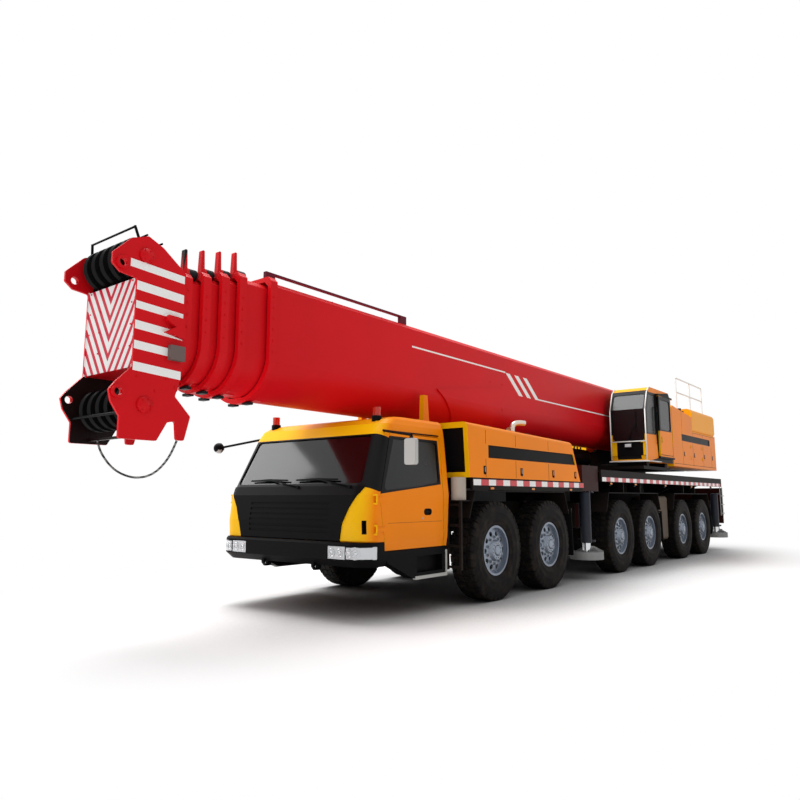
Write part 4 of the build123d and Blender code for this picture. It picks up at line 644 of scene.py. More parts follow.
# %% Dress every node
SECTION_FRONTS = (3.87, 4.086, 4.302, 4.518, 9.0)  # the last section's rollers are out of sight
for step, front in enumerate(SECTION_FRONTS, 1):
    NODE_FINISH[f"boom_section_{step}"] = [boom_red, sheave_nylon]
    PLACES[f"boom_section_{step}"] = [(1, (front - 0.20, front - 0.101), (0.26, 0.39), (3.6, 4.02))]
PLACES["boom_section_4"].append((1, (4.42, 4.51), (0.31, 0.38), (3.93, 4.2)))
for where in ("front", "rear"):
    for side in ("left", "right"):
        NODE_FINISH[f"outrigger_beam_{where}_{side}"] = [maroon, jack_blue]
        PLACES[f"outrigger_beam_{where}_{side}"] = [(1, ANY_STATION, (1.26, 1.6), (0, 2))]
        NODE_FINISH[f"outrigger_jack_{where}_{side}"] = [float_grey, chrome]
        PLACES[f"outrigger_jack_{where}_{side}"] = [(1, ANY_STATION, (0, 2), (0.4705, 2))]
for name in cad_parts:
    if name.startswith("knuckle_"):
        NODE_FINISH[name] = [cast_steel]
    if name in NODE_FINISH:
        dress(name, NODE_FINISH[name])
print("dressed", len(NODE_FINISH), "of", len(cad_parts))

# %% [markdown]
# ## Small tools for shapes
# New pieces are drawn in stations with bmesh operators and then moved into the model in one go. A
# slab is a cube that is stretched and bevelled, a rod is a cone between two points, a turned piece is
# a spun profile, and a plate is a face with its corners rounded and then extruded. Each is drawn on its
# own and then absorbed, because an operator that rebuilds faces would lose count of its neighbours'.

# %% Slabs and rods
def slab(bm, low, high, bevel=0.004, index=0):
    """A block between two corners with its edges rounded."""
    low, high = Vector(low), Vector(high)
    shape = Matrix.Translation((low + high) / 2) @ Matrix.Diagonal((*(high - low), 1))
    verts = bmesh.ops.create_cube(bm, size=1, matrix=shape)["verts"]
    edges = {edge for vert in verts for edge in vert.link_edges}
    for face in {face for vert in verts for face in vert.link_faces}:
        face.material_index = index
    if bevel:
        bmesh.ops.bevel(bm, geom=list(edges), offset=bevel, segments=2, profile=0.5, affect="EDGES",
                        material=-1, clamp_overlap=True)


def rod(bm, start, end, radius, end_radius=None, sides=16, index=0):
    """A round bar, or a cone, from one point to another."""
    start, end = Vector(start), Vector(end)
    turn = (end - start).to_track_quat("Z", "Y").to_matrix().to_4x4()
    verts = bmesh.ops.create_cone(bm, cap_ends=True, segments=sides, radius1=radius,
                                  radius2=radius if end_radius is None else end_radius,
                                  depth=(end - start).length,
                                  matrix=Matrix.Translation((start + end) / 2) @ turn)["verts"]
    for face in {face for vert in verts for face in vert.link_faces}:
        face.material_index = index
        face.smooth = len(face.verts) == 4 and sides > 8


print("rod", rod.__doc__)

# %% Turned pieces and plates
def absorb(bm, part, index, smooth=False):
    """Adds a shape drawn on its own to a piece, with its finish, and frees it."""
    for face in part.faces:
        face.material_index = index
        face.smooth = smooth
    mesh = bpy.data.meshes.new("part")
    part.to_mesh(mesh)
    part.free()
    bm.from_mesh(mesh)
    bpy.data.meshes.remove(mesh)


def turned(bm, profile, centre, axis, steps=32, index=0):
    """A profile of (radius, distance along the axis) points spun into a closed shape."""
    axis = Vector(axis).normalized()
    across = axis.orthogonal().normalized()
    part = bmesh.new()
    verts = [part.verts.new(Vector(centre) + across * r + axis * along) for r, along in profile]
    loop = verts + ([verts[0]] if profile[0][0] > 0 or profile[-1][0] > 0 else [])
    edges = [part.edges.new(pair) for pair in zip(loop, loop[1:])]
    bmesh.ops.spin(part, geom=verts + edges, cent=centre, axis=axis, angle=2 * math.pi, steps=steps,
                   use_merge=True)
    bmesh.ops.remove_doubles(part, verts=part.verts, dist=1e-5)
    absorb(bm, part, index, smooth=True)


def outlined(points, corner):
    """A drawing that holds one flat face, its corners rounded."""
    part = bmesh.new()
    part.faces.new([part.verts.new(point) for point in points])
    if corner:
        bmesh.ops.bevel(part, geom=part.verts[:], offset=corner, segments=4, profile=0.5, affect="VERTICES",
                        material=-1)
    return part


def thicken(bm, part, depth, index):
    """Extrudes a flat drawing by a vector and adds it to a piece."""
    grown = bmesh.ops.extrude_face_region(part, geom=part.faces[:], use_keep_orig=True)["geom"]
    bmesh.ops.translate(part, verts=[v for v in grown if isinstance(v, bmesh.types.BMVert)], vec=depth)
    absorb(bm, part, index)


def plate(bm, points, depth, corner=0.0, index=0):
    """A flat outline with its corners rounded, extruded by a vector."""
    thicken(bm, outlined(points, corner), depth, index)


def hoop(bm, points, width, depth, corner=0.0, index=0):
    """A frame that follows a flat outline: the outline inset by a width, then extruded."""
    part = outlined(points, corner)
    middle = part.faces[:]
    bmesh.ops.inset_region(part, faces=middle, thickness=width, use_even_offset=True)
    bmesh.ops.delete(part, geom=middle, context="FACES")
    thicken(bm, part, depth, index)


print("hoop", hoop.__doc__)

# %% Setting out and finishing
def clock(count, start=0.0):
    """Cosine and sine of evenly spaced turns; start shifts them by a share of one step."""
    turns = [2 * math.pi * (k + start) / count for k in range(count)]
    return [(math.cos(turn), math.sin(turn)) for turn in turns]


def both_sides(bm):
    """Adds the mirror image across the crane's middle plane."""
    bmesh.ops.mirror(bm, geom=bm.verts[:] + bm.edges[:] + bm.faces[:], axis="Y")


def finish_piece(bm, name, finishes, body):
    """Moves a drawing in stations into the model and hangs it on a body."""
    bmesh.ops.translate(bm, verts=bm.verts, vec=(FIRST_AXLE, 0, 0))
    bmesh.ops.recalc_face_normals(bm, faces=bm.faces)
    mesh = bpy.data.meshes.new(name)
    bm.to_mesh(mesh)
    bm.free()
    for finish in finishes:
        mesh.materials.append(finish)
    piece = bpy.data.objects.new(name, mesh)
    bpy.context.scene.collection.objects.link(piece)
    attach(piece, body)
    print(name, len(mesh.polygons), "faces")
    return piece


print("six turns", clock(6)[1])

# %% [markdown]
# ## Tyres and wheel details
# The crane stands on 14.00 R25 tyres on dished disc wheels. A tyre is a spun section with raised rings on
# its sidewall, and its tread is one pitch of four blocks repeated round the crown. The steel wheel keeps
# the CAD's own mesh, hand holes and all: a copy of it loses the plain tyre and gains nuts and a hub cap.

# %% Tyre
TYRE_R = 0.685
TYRE_MID = 1.3075
TREAD_PITCHES = 40
SIDEWALL = [(0.331, 0.1305), (0.346, 0.156), (0.356, 0.168), (0.372, 0.172), (0.384, 0.172), (0.390, 0.177),
            (0.425, 0.182), (0.430, 0.1855), (0.440, 0.1855), (0.446, 0.184), (0.520, 0.1915),
            (0.526, 0.1925), (0.540, 0.1925), (0.546, 0.1905), (0.600, 0.186), (0.632, 0.178),
            (0.650, 0.168), (0.660, 0.156), (0.666, 0.135), (0.668, 0.070)]
SHOULDER_BLOCK = [(0.106, 0.660), (0.106, 0.685), (0.157, 0.685), (0.172, 0.668), (0.184, 0.628),
                  (0.172, 0.628)]
CENTRE_BLOCK = [(0.007, 0.660), (0.007, 0.685), (0.096, 0.685), (0.096, 0.660)]
BLOCK_HALF = 0.043
BLOCK_SKEW = 0.22


def tyre_mesh():
    """A whole tyre about the Y axis, its middle at the origin."""
    bm = bmesh.new()
    section = SIDEWALL + [(r, -y) for r, y in reversed(SIDEWALL)]
    turned(bm, section, (0, 0, 0), (0, 1, 0), steps=72)
    blocks = bmesh.new()
    for side in (1, -1):
        for outline, shift in ((SHOULDER_BLOCK, 0.0), (CENTRE_BLOCK, BLOCK_HALF * 0.9)):
            start = shift + (0.02 if side < 0 else 0.0) - BLOCK_HALF
            plate(blocks, [(start, side * y, r) for y, r in outline], (2 * BLOCK_HALF, 0, 0))
    skew = Matrix.Identity(4)
    skew[0][1] = BLOCK_SKEW
    bmesh.ops.transform(blocks, matrix=skew, verts=blocks.verts)
    sharp = [edge for edge in blocks.edges if edge.calc_length() > 0.02]
    bmesh.ops.bevel(blocks, geom=sharp, offset=0.004, segments=1, profile=0.5, affect="EDGES", material=-1,
                    clamp_overlap=True)
    for vert in blocks.verts:
        reach = math.hypot(vert.co.x, vert.co.z)
        if reach > TYRE_R:
            vert.co.z = math.sqrt(TYRE_R ** 2 - vert.co.x ** 2)
    part = 2 * math.pi / TREAD_PITCHES
    bmesh.ops.spin(blocks, geom=blocks.verts[:] + blocks.edges[:] + blocks.faces[:], cent=(0, 0, 0),
                   axis=(0, 1, 0), angle=2 * math.pi - part, steps=TREAD_PITCHES - 1, use_duplicate=True)
    absorb(bm, blocks, 0)
    whole = bpy.data.meshes.new("tyre")
    bm.to_mesh(whole)
    bm.free()
    return whole


tyre = tyre_mesh()
print("tyre faces", len(tyre.polygons))

# %% Wheel details
NUT_CIRCLE, HUB_BOLTS = 0.183, 0.101
NUT_PARTS = [(0.118, 0.126, 0.024, 16, 1), (0.124, 0.146, 0.018, 6, 2), (0.144, 0.154, 0.010, 8, 2)]
HUB_CAP = [(0.0, 0.187), (0.045, 0.187), (0.058, 0.184), (0.066, 0.177), (0.070, 0.160), (0.0, 0.160)]


def wheel_trim(bm):
    """Nuts, washers, hub bolts, hub cap and lock ring of a left wheel about the origin."""
    for up, along in clock(10):
        x, z = NUT_CIRCLE * along, NUT_CIRCLE * up
        for start, end, radius, sides, index in NUT_PARTS:
            rod(bm, (x, start, z), (x, end, z), radius, sides=sides, index=index)
    for up, along in clock(12, 0.5):
        x, z = HUB_BOLTS * along, HUB_BOLTS * up
        rod(bm, (x, 0.170, z), (x, 0.1815, z), 0.009, sides=6, index=2)
    turned(bm, HUB_CAP, (0, 0, 0), (0, 1, 0), steps=32, index=1)
    turned(bm, [(0.351, 0.131), (0.357, 0.137), (0.357, 0.145), (0.351, 0.150), (0.344, 0.150),
                (0.344, 0.131)], (0, 0, 0), (0, 1, 0), steps=64, index=1)
    rod(bm, (0, 0.10, -0.275), (0, 0.150, -0.290), 0.006, sides=8, index=2)


trim_bm = bmesh.new()
wheel_trim(trim_bm)
bmesh.ops.recalc_face_normals(trim_bm, faces=trim_bm.faces)
wheel_details = bpy.data.meshes.new("wheel_details")
trim_bm.to_mesh(wheel_details)
trim_bm.free()
print("wheel detail faces", len(wheel_details.polygons))

# %% [markdown]
# ## Twelve wheels
# A right wheel is a left one turned inside out along its axle, so the tyre and the details are mirrored
# and their normals set right when the piece is finished. Each wheel replaces its node and rides its body.

# %% Wheels in place
for name in [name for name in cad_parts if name.startswith("wheel_")]:
    low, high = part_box(name)
    middle = Vector(((low.x + high.x) / 2, math.copysign(TYRE_MID, low.y), TYRE_R))
    side = 1 if low.y > 0 else -1
    bm = bmesh.new()
    bm.from_mesh(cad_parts[name].data)
    bmesh.ops.remove_doubles(bm, verts=bm.verts, dist=1e-5)
    reach = {v: math.hypot(v.co.x - middle.x, v.co.z - middle.z) for v in bm.verts}
    plain = [f for f in bm.faces if any(reach[v] > 0.36 for v in f.verts)
             or all(abs(reach[v] - 0.3313) < 0.0009 for v in f.verts)]
    bmesh.ops.delete(bm, geom=plain, context="FACES")
    bmesh.ops.translate(bm, verts=bm.verts, vec=-middle)
    for face in bm.faces:
        face.material_index = 1
        face.smooth = False
    for mesh in (tyre, wheel_details):
        first = len(bm.verts)
        bm.from_mesh(mesh)
        bm.verts.ensure_lookup_table()
        if side < 0:
            bmesh.ops.scale(bm, vec=(1, -1, 1), verts=bm.verts[first:])
    bmesh.ops.translate(bm, verts=bm.verts, vec=middle - Vector((FIRST_AXLE, 0, 0)))
    piece = finish_piece(bm, f"tyre_on_{name}", [tyre_rubber, rim_silver, zinc_bolt], name)
    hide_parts(name)

# %% [markdown]
# ## Glass, seals and handles of the driver's cab
# The doors' panes are laminated glass bonded into a rubber seal. Each pane is the window's outline set on
# the leaning side of the cab, its corners rounded, and extruded to glass thickness. The seal is the same
# outline inset by its width. All of it rides the door, so it swings with it.

# %% Cab glass
CAB_WAIST, WAIST_HALF, ROOF_HALF, ROOF_EDGE = 1.45, 1.300, 1.188, 2.22
SIDE_LEAN = (WAIST_HALF - ROOF_HALF) / (ROOF_EDGE - CAB_WAIST)
SCREEN_FOOT, SCREEN_LEAN = 2.555, 0.487
DOOR_WINDOW = [(1.115, 1.620), (1.560, 1.560), (2.270, 1.500), (1.975, 2.140), (1.075, 2.140)]
SCREEN = [(-1.130, 1.590), (1.130, 1.590), (1.040, 2.180), (-1.040, 2.180)]


def on_side(x, z, proud=0.0):
    """A point on the cab's leaning left side."""
    return Vector((x, WAIST_HALF - (z - CAB_WAIST) * SIDE_LEAN + proud, z))


def on_screen(y, z, proud=0.0):
    """A point on the plane of the windscreen."""
    return Vector((SCREEN_FOOT - (z - CAB_WAIST) * SCREEN_LEAN + proud, y, z))


def grown(outline, amount):
    """A flat outline pushed outwards from its middle."""
    middle = [sum(p[k] for p in outline) / len(outline) for k in (0, 1)]
    return [tuple(p[k] + math.copysign(amount, p[k] - middle[k]) for k in (0, 1)) for p in outline]


def door_trim(bm):
    """Pane, seal, handle and a small round zinc-plated boss of the left door."""
    inwards = Vector((0, -1, -SIDE_LEAN)).normalized()
    plate(bm, [on_side(x, z, -0.012) for x, z in grown(DOOR_WINDOW, 0.004)], inwards * 0.006, 0.05, 0)
    hoop(bm, [on_side(x, z, 0.003) for x, z in grown(DOOR_WINDOW, 0.016)], 0.026, inwards * 0.022, 0.05, 1)
    slab(bm, (1.335, 1.276, 1.226), (1.465, 1.298, 1.254), 0.006, 2)
    slab(bm, (1.345, 1.262, 1.230), (1.365, 1.280, 1.250), 0.004, 2)
    slab(bm, (1.435, 1.262, 1.230), (1.455, 1.280, 1.250), 0.004, 2)
    rod(bm, (1.505, 1.292, 1.160), (1.505, 1.303, 1.160), 0.013, sides=24, index=3)


def on_each_side(draw, name, finishes, body):
    """Draws a left piece and its mirror image, each riding its own body."""
    for side in ("left", "right"):
        bm = bmesh.new()
        draw(bm)
        if side == "right":
            bmesh.ops.scale(bm, vec=(1, -1, 1), verts=bm.verts)
        finish_piece(bm, f"{name}_{side}", finishes, f"{body}_{side}")


on_each_side(door_trim, "door_glass_and_seal", [side_glass, seal_rubber, black_plastic, zinc_bolt],
             "carrier_door")

# %% [markdown]
# ## Windscreen seal and wipers
# The windscreen's rubber frame is one hoop, and a rain gutter runs over each door. Two wiper arms rest
# along the bottom of the glass: a tapering arm, a thin blade and a round pivot each.

# %% Windscreen
bm = bmesh.new()
outwards = Vector((1, 0, SCREEN_LEAN)).normalized()
hoop(bm, [on_screen(y, z, -0.006) for y, z in grown(SCREEN, 0.012)], 0.030, outwards * 0.012, 0.05, 0)
for pivot, tip in ((0.10, -0.82), (0.98, 0.06)):
    middle = (pivot * 0.35 + tip * 0.65, 1.645)
    rod(bm, on_screen(pivot, 1.545, 0.0), on_screen(pivot, 1.552, 0.035), 0.022, 0.018, sides=20, index=1)
    rod(bm, on_screen(pivot, 1.550, 0.026), on_screen(*middle, 0.020), 0.010, 0.006, sides=10, index=1)
    blade = [on_screen(middle[0] + reach, 1.628 + rise, 0.006)
             for reach, rise in ((-0.36, 0.0), (0.36, 0.0), (0.36, 0.014), (0.0, 0.026), (-0.36, 0.014))]
    plate(bm, blade, outwards * 0.014, 0, 1)
for flip in (Vector((1, 1, 1)), Vector((1, -1, 1))):
    rod(bm, on_side(1.02, 2.235, 0.010) * flip, on_side(2.04, 2.228, 0.010) * flip, 0.009, sides=12, index=1)
finish_piece(bm, "windscreen_seal_and_wipers", [seal_rubber, black_plastic], "carrier")

# %% [markdown]
# ## Mirrors
# The left mirror is a tall pane of silvered glass in the back of its housing, with a clamp on its arm,
# and the right one is round and looks along the crane's side. They are plates, hoops and spun discs.

# %% Mirrors
MIRROR_X, MIRROR_Y = 2.350, 1.765
bm = bmesh.new()
face = [(MIRROR_X - 0.031, MIRROR_Y + y, z)
        for y, z in ((-0.066, 1.806), (0.061, 1.806), (0.061, 2.074), (-0.066, 2.074))]
plate(bm, face, (-0.003, 0, 0), 0.022, 0)
hoop(bm, [(x + 0.001, y, z) for x, y, z in face], 0.010, (-0.007, 0, 0), 0.022, 1)
slab(bm, (MIRROR_X - 0.034, MIRROR_Y - 0.060, 1.880), (MIRROR_X - 0.0335, MIRROR_Y + 0.055, 1.884), 0.0, 1)
rod(bm, (MIRROR_X, MIRROR_Y, 2.066), (MIRROR_X, MIRROR_Y, 2.112), 0.022, sides=20, index=1)
turned(bm, [(0.0, 0.058), (0.048, 0.054), (0.050, 0.060), (0.0, 0.066)], (MIRROR_X, -MIRROR_Y, 2.130),
       (-1, 0, 0), 24, 0)
turned(bm, [(0.064, 0.030), (0.0745, 0.024), (0.0745, 0.006), (0.070, 0.006)],
       (MIRROR_X, -MIRROR_Y, 2.130), (-1, 0, 0), 32, 1)
finish_piece(bm, "mirror_glass_and_clamps", [mirror_glass, black_plastic], "carrier")

# %% [markdown]
# ## Headlamps
# Each lens covers two round projector lamps. A lamp is a spun bowl with a bright rim and a bulb in the
# middle, and a slim black bezel frames each lens.

# %% Headlamps
LAMP_FACE = 2.634
LENS_CURVE = [(2.634, 1.022), (2.6301, 1.096), (2.588, 1.198), (2.5432, 1.247), (2.4668, 1.291)]
BULBS = [((LAMP_FACE, 0.808, 0.785), (1, 0, 0)), ((LAMP_FACE, 0.938, 0.785), (1, 0, 0)),
         ((LAMP_FACE - 0.002, 1.078, 0.785), (1, 0.06, 0)), ((2.606, 1.158, 0.785), (1, 0.42, 0))]
bm = bmesh.new()
hoop(bm, [(LAMP_FACE - 0.002, y, z)
          for y, z in ((0.742, 0.712), (1.010, 0.712), (1.010, 0.858), (0.742, 0.858))],
     0.011, (0.006, 0, 0), 0.018, 0)
for z in (0.714, 0.856):
    for start, end in zip(LENS_CURVE, LENS_CURVE[1:]):
        rod(bm, (*start, z), (*end, z), 0.006, sides=10, index=0)
rod(bm, (2.634, 1.024, 0.712), (2.634, 1.024, 0.858), 0.006, sides=10, index=0)
for centre, facing in BULBS:
    turned(bm, [(0.038, 0.001), (0.049, 0.001), (0.049, 0.006), (0.038, 0.003)], centre, facing, 32, 1)
    turned(bm, [(0.0, 0.001), (0.022, 0.001), (0.018, 0.008), (0.0, 0.010)], centre, facing, 24, 1)
both_sides(bm)
finish_piece(bm, "headlamp_bowls_and_bezels", [black_plastic, chrome], "carrier")

# %% [markdown]
# ## Steering wheel and head rests
# Through the glass the eye looks for a steering wheel and seats. The wheel's rim is a spun ring with
# three spokes on a raked column, and each seat gets a padded back and a head rest.

# %% Cab interior
bm = bmesh.new()
hub, rake = Vector((2.02, 0.65, 1.56)), Vector((-0.62, 0, 0.78)).normalized()
ring = [(0.225 + 0.015 * c, 0.015 * s) for c, s in clock(10)]
turned(bm, ring, hub, rake, 48, 0)
turned(bm, [(0.0, 0.02), (0.045, 0.015), (0.055, -0.01), (0.0, -0.02)], hub, rake, 24, 0)
for k in range(3):
    spoke = rake.orthogonal().normalized()
    spoke.rotate(Matrix.Rotation(2 * math.pi * k / 3 + 0.5, 3, rake))
    rod(bm, hub, hub + spoke * 0.222, 0.012, 0.010, 12, 0)
rod(bm, hub, hub - rake * 0.26, 0.028, 0.036, 20, 0)
for y in (0.65, -0.65):
    slab(bm, (1.13, y - 0.19, 1.36), (1.30, y + 0.19, 1.60), 0.04, 1)
    slab(bm, (1.08, y - 0.19, 1.62), (1.24, y + 0.19, 1.90), 0.04, 1)
    slab(bm, (1.05, y - 0.13, 1.965), (1.15, y + 0.13, 2.12), 0.035, 1)
    for post in (y - 0.06, y + 0.06):
        rod(bm, (1.12, post, 1.93), (1.10, post, 1.98), 0.008, sides=10, index=0)
finish_piece(bm, "steering_wheel_and_cushions", [dash_plastic, canister_grey], "carrier")

# %% [markdown]
# ## Engine cover fittings
# The cover is bolted together from pressed panels. Rubber latches hold its lower edge, a lip runs round
# the open front, louvres let hot air out of the top, and the exhaust ends in a bent steel tip.

# %% Engine cover
COVER_FALL = 0.08 / 3.535
LOUVRE_PITCH, SLAT_PITCH = 0.07, 0.062


def cover_top(x):
    """Height of the cover's sloping top."""
    return 2.44 - (0.715 - x) * COVER_FALL


bm = bmesh.new()
for x in (0.33, -0.72, -1.78, -2.62):
    slab(bm, (x - 0.035, 1.499, 1.745), (x + 0.035, 1.506, 1.855), 0.003, 0)
    rod(bm, (x, 1.504, 1.765), (x, 1.504, 1.840), 0.009, sides=12, index=1)
    slab(bm, (x - 0.018, 1.504, 1.735), (x + 0.018, 1.513, 1.770), 0.004, 0)
for x in (0.16, -1.02, -2.18):
    top = cover_top(x)
    rod(bm, (x - 0.07, 1.438, top - 0.008), (x + 0.07, 1.438, top - 0.010), 0.013, sides=14, index=0)
for k in range(12):
    x = -1.70 - LOUVRE_PITCH * k
    top = cover_top(x)
    plate(bm, [(x, 0.56, top - 0.002), (x + 0.05, 0.56, top - 0.002), (x + 0.02, 0.56, top + 0.016)],
          (0, 0.72, 0), 0, 2)
hoop(bm, [(0.715, 0.745, 1.735), (0.715, 1.455, 1.735), (0.715, 1.455, 2.385), (0.715, 0.745, 2.385)], 0.020,
     (0.008, 0, 0), 0.03, 2)
for k in range(9):
    z = 1.80 + SLAT_PITCH * k
    slab(bm, (0.690, 0.79, z), (0.702, 1.41, z + 0.012), 0.003, 0)
both_sides(bm)
finish_piece(bm, "cover_latches_and_louvres", [black_plastic, zinc_bolt, cab_yellow], "carrier")

# %% [markdown]
# ## Panel seams
# Where two panels meet the eye sees a dark line. A strip of seal rubber 8 mm wide that stands less than a
# millimetre proud shows the same line from every side, which bump alone would not.

# %% Cover seams
SEAM_HALF = 0.004
bm = bmesh.new()
for x in (0.30, -0.55, -1.62):
    slab(bm, (x - SEAM_HALF, 1.4995, 1.70), (x + SEAM_HALF, 1.5008, 1.955), 0.0004, 0)
    slab(bm, (x - SEAM_HALF, 1.4995, 2.165), (x + SEAM_HALF, 1.5008, cover_top(x) - 0.075), 0.0004, 0)
both_sides(bm)
finish_piece(bm, "cover_panel_seams", [seal_rubber], "carrier")

# %% [markdown]
# ## Exhaust tip
# The exhaust stack leaves the cover through its top and ends in a bent tip of stainless steel. It is
# made as the rope is, from five points of a smooth curve.

# %% Exhaust tip
EXHAUST_ROUTE = [(-1.35, 1.0, 2.44), (-1.35, 1.0, 2.53), (-1.36, 1.01, 2.60), (-1.44, 1.06, 2.64),
                 (-1.56, 1.12, 2.63)]
EXHAUST_R = 0.043
exhaust = bent("exhaust_tip", EXHAUST_ROUTE, EXHAUST_R, 5, 6)
exhaust.data.materials.append(exhaust_steel)
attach(exhaust, "carrier")
print("exhaust points", len(EXHAUST_ROUTE))

# %% [markdown]
# ## Reflective edge
# Blocks of red and white reflective tape run along the deck's side boards, in pitches of 0.4 m. Each
# block is a slab one millimetre thick, so it catches the light at its own edge.

# %% Tape blocks
TAPE_LENGTH = 0.2
bm = bmesh.new()
for first, last, low, high in ((0.60, -3.00, 1.586, 1.668), (-3.84, -12.24, 1.716, 1.794)):
    count = round((first - last) / TAPE_LENGTH)
    for k in range(count):
        start = first - TAPE_LENGTH * k
        slab(bm, (start - TAPE_LENGTH + 0.002, 1.4798, low), (start - 0.002, 1.4812, high), 0.0003, k % 2)
both_sides(bm)
finish_piece(bm, "reflective_tape_blocks", [tape_white, tape_red], "carrier")

# %% [markdown]
# ## Marker lamps
# Amber marker lamps hang on the side boards below the tape: a small base with a rounded lens on it. On
# the low rear board each hangs from a bracket.

# %% Marker lamps
MARKERS = [(0.12, 1.548), (-1.10, 1.548), (-2.45, 1.548), (-4.25, 1.68), (-5.55, 1.68), (-7.45, 1.68),
           (-9.45, 1.68), (-11.25, 1.68)]
bm = bmesh.new()
for x, z in MARKERS:
    if z > 1.6:
        slab(bm, (x - 0.05, 1.462, z - 0.045), (x + 0.05, 1.468, z + 0.035), 0.002, 1)
    slab(bm, (x - 0.055, 1.466, z - 0.022), (x + 0.055, 1.4835, z + 0.022), 0.004, 1)
    slab(bm, (x - 0.045, 1.4825, z - 0.016), (x + 0.045, 1.494, z + 0.016), 0.006, 0)
both_sides(bm)
finish_piece(bm, "side_marker_lamps", [amber, black_plastic], "carrier")

# %% [markdown]
# ## Collar pads
# Between the boom's collars sit black sliding pads of cast nylon, and a row of bolts up each side holds
# the pads behind them. The sections shrink by the same step each, so one loop sets out all five collars.

# %% Collar pads and bolts
BOOM_FRONTS = (3.450, *SECTION_FRONTS[:4])
BOLT_PITCH = 0.13
for step, front in enumerate(BOOM_FRONTS):
    bm = bmesh.new()
    bottom = 2.560 + 0.026 * step
    half = 0.520 - 0.030 * step
    top = 3.930 - 0.050 * step
    foot = bottom + 0.52
    for y in (-0.13, 0.13):
        slab(bm, (front - 0.100, y - 0.06, bottom - 0.060), (front - 0.020, y + 0.06, bottom - 0.028),
             0.008, 0)
    for z in [foot + BOLT_PITCH * k for k in range(int((top - 0.15 - foot) / BOLT_PITCH) + 1)]:
        for y in (half + 0.044, -half - 0.044):
            outer = y + math.copysign(0.010, y)
            rod(bm, (front - 0.050, y, z), (front - 0.050, outer, z), 0.011, sides=6, index=1)
    for y in (-0.20, 0.20):
        slab(bm, (front - 0.090, y - 0.06, top + 0.040), (front - 0.020, y + 0.06, top + 0.054), 0.004, 0)
    body = "boom" if step == 0 else f"section_{step}"
    finish_piece(bm, f"collar_pads_{step}", [sheave_nylon, boom_red], body)

# %% [markdown]
# ## Bolts and covers of the base section
# The rail along the top is bolted on, and access covers on the side are thin plates over hand holes.
# Only a cover's edge catches the light, so a hoop draws it.

# %% Base section
bm = bmesh.new()
for x in (3.30, 2.30, 1.30, 0.80):
    for y in (0.425, -0.425):
        rod(bm, (x, y, 3.928), (x, y, 3.940), 0.022, sides=6, index=0)
for x in (-1.9, -1.5):
    for z in (2.93, 3.38):
        rod(bm, (x, 0.519, z), (x, 0.527, z), 0.016, sides=6, index=0)
for x in (0.1, -2.9, -5.9):
    hoop(bm, [(x, 0.519, 3.36), (x - 0.42, 0.519, 3.36), (x - 0.42, 0.519, 3.52), (x, 0.519, 3.52)], 0.012,
         (0, 0.004, 0), 0.02, 0)
both_sides(bm)
finish_piece(bm, "boom_bolts_and_covers", [boom_red], "boom")

# %% [markdown]
# ## Boom head fittings
# Each sheave pin ends in a bolted cap, the jib pins have keeper plates, the front board is bolted on,
# and black bars across the top keep the ropes in their grooves. Caps are spun, the rest are rods and slabs.

# %% Boom head
bm = bmesh.new()
for x, z, radius in ((4.985, 3.795, 0.075), (4.930, 2.310, 0.080)):
    turned(bm, [(0.0, 0.034), (radius * 0.55, 0.034), (radius * 0.62, 0.026), (radius, 0.024), (radius, 0.0),
                (0.0, 0.0)], (x, 0.479, z), (0, 1, 0), 32, 0)
    for along, up in clock(6):
        spot = Vector((x + radius * 0.8 * along, 0.501, z + radius * 0.8 * up))
        rod(bm, spot, spot + Vector((0, 0.010, 0)), 0.008, sides=6, index=1)
for x, z in ((5.235, 3.665), (5.215, 2.410)):
    slab(bm, (x - 0.075, 0.479, z - 0.014), (x - 0.030, 0.490, z + 0.014), 0.003, 1)
for z in (2.66, 2.88, 3.10, 3.32, 3.54):
    for y in (0.40, 0.20):
        rod(bm, (5.068, y, z), (5.077, y, z), 0.009, sides=6, index=1)
for x, z in ((4.60, 2.52), (4.82, 2.46), (4.70, 2.60), (5.02, 2.58)):
    rod(bm, (x, 0.479, z), (x, 0.489, z), 0.012, sides=6, index=1)
for x, z in ((4.80, 4.016), (4.97, 4.060)):
    rod(bm, (x - 0.005, 0.0, z - 0.03), (x - 0.005, 0.44, z - 0.03), 0.010, sides=12, index=2)
both_sides(bm)
finish_piece(bm, "head_pin_caps_and_bolts", [head_red, boom_red, satin_black], "section_5")

# %% [markdown]
# ## Sheave hubs
# The nylon sheaves turn on cast hubs. A hub is one profile spun round the pin, and each of the two pins
# carries five.

# %% Sheave hubs
bm = bmesh.new()
for y in (-0.32, -0.16, 0.0, 0.16, 0.32):
    for x, z, radius in ((4.985, 3.795, 0.215), (4.930, 2.310, 0.220)):
        turned(bm, [(0.0, 0.030), (0.055, 0.030), (0.060, 0.024), (0.095, 0.022), (0.095, -0.022),
                    (0.060, -0.024), (0.055, -0.030), (0.0, -0.030)], (x, y, z), (0, 1, 0), 24, 0)
finish_piece(bm, "sheave_hubs", [cast_steel], "section_5")

# %% [markdown]
# ## Rails, step and lamp of the crane cab
# Two pale grab posts stand at the front corners of the crane cab, tied by a bar below the windscreen and
# a step plate along its foot. A work lamp sits in the black lower panel, with the wiper above it.

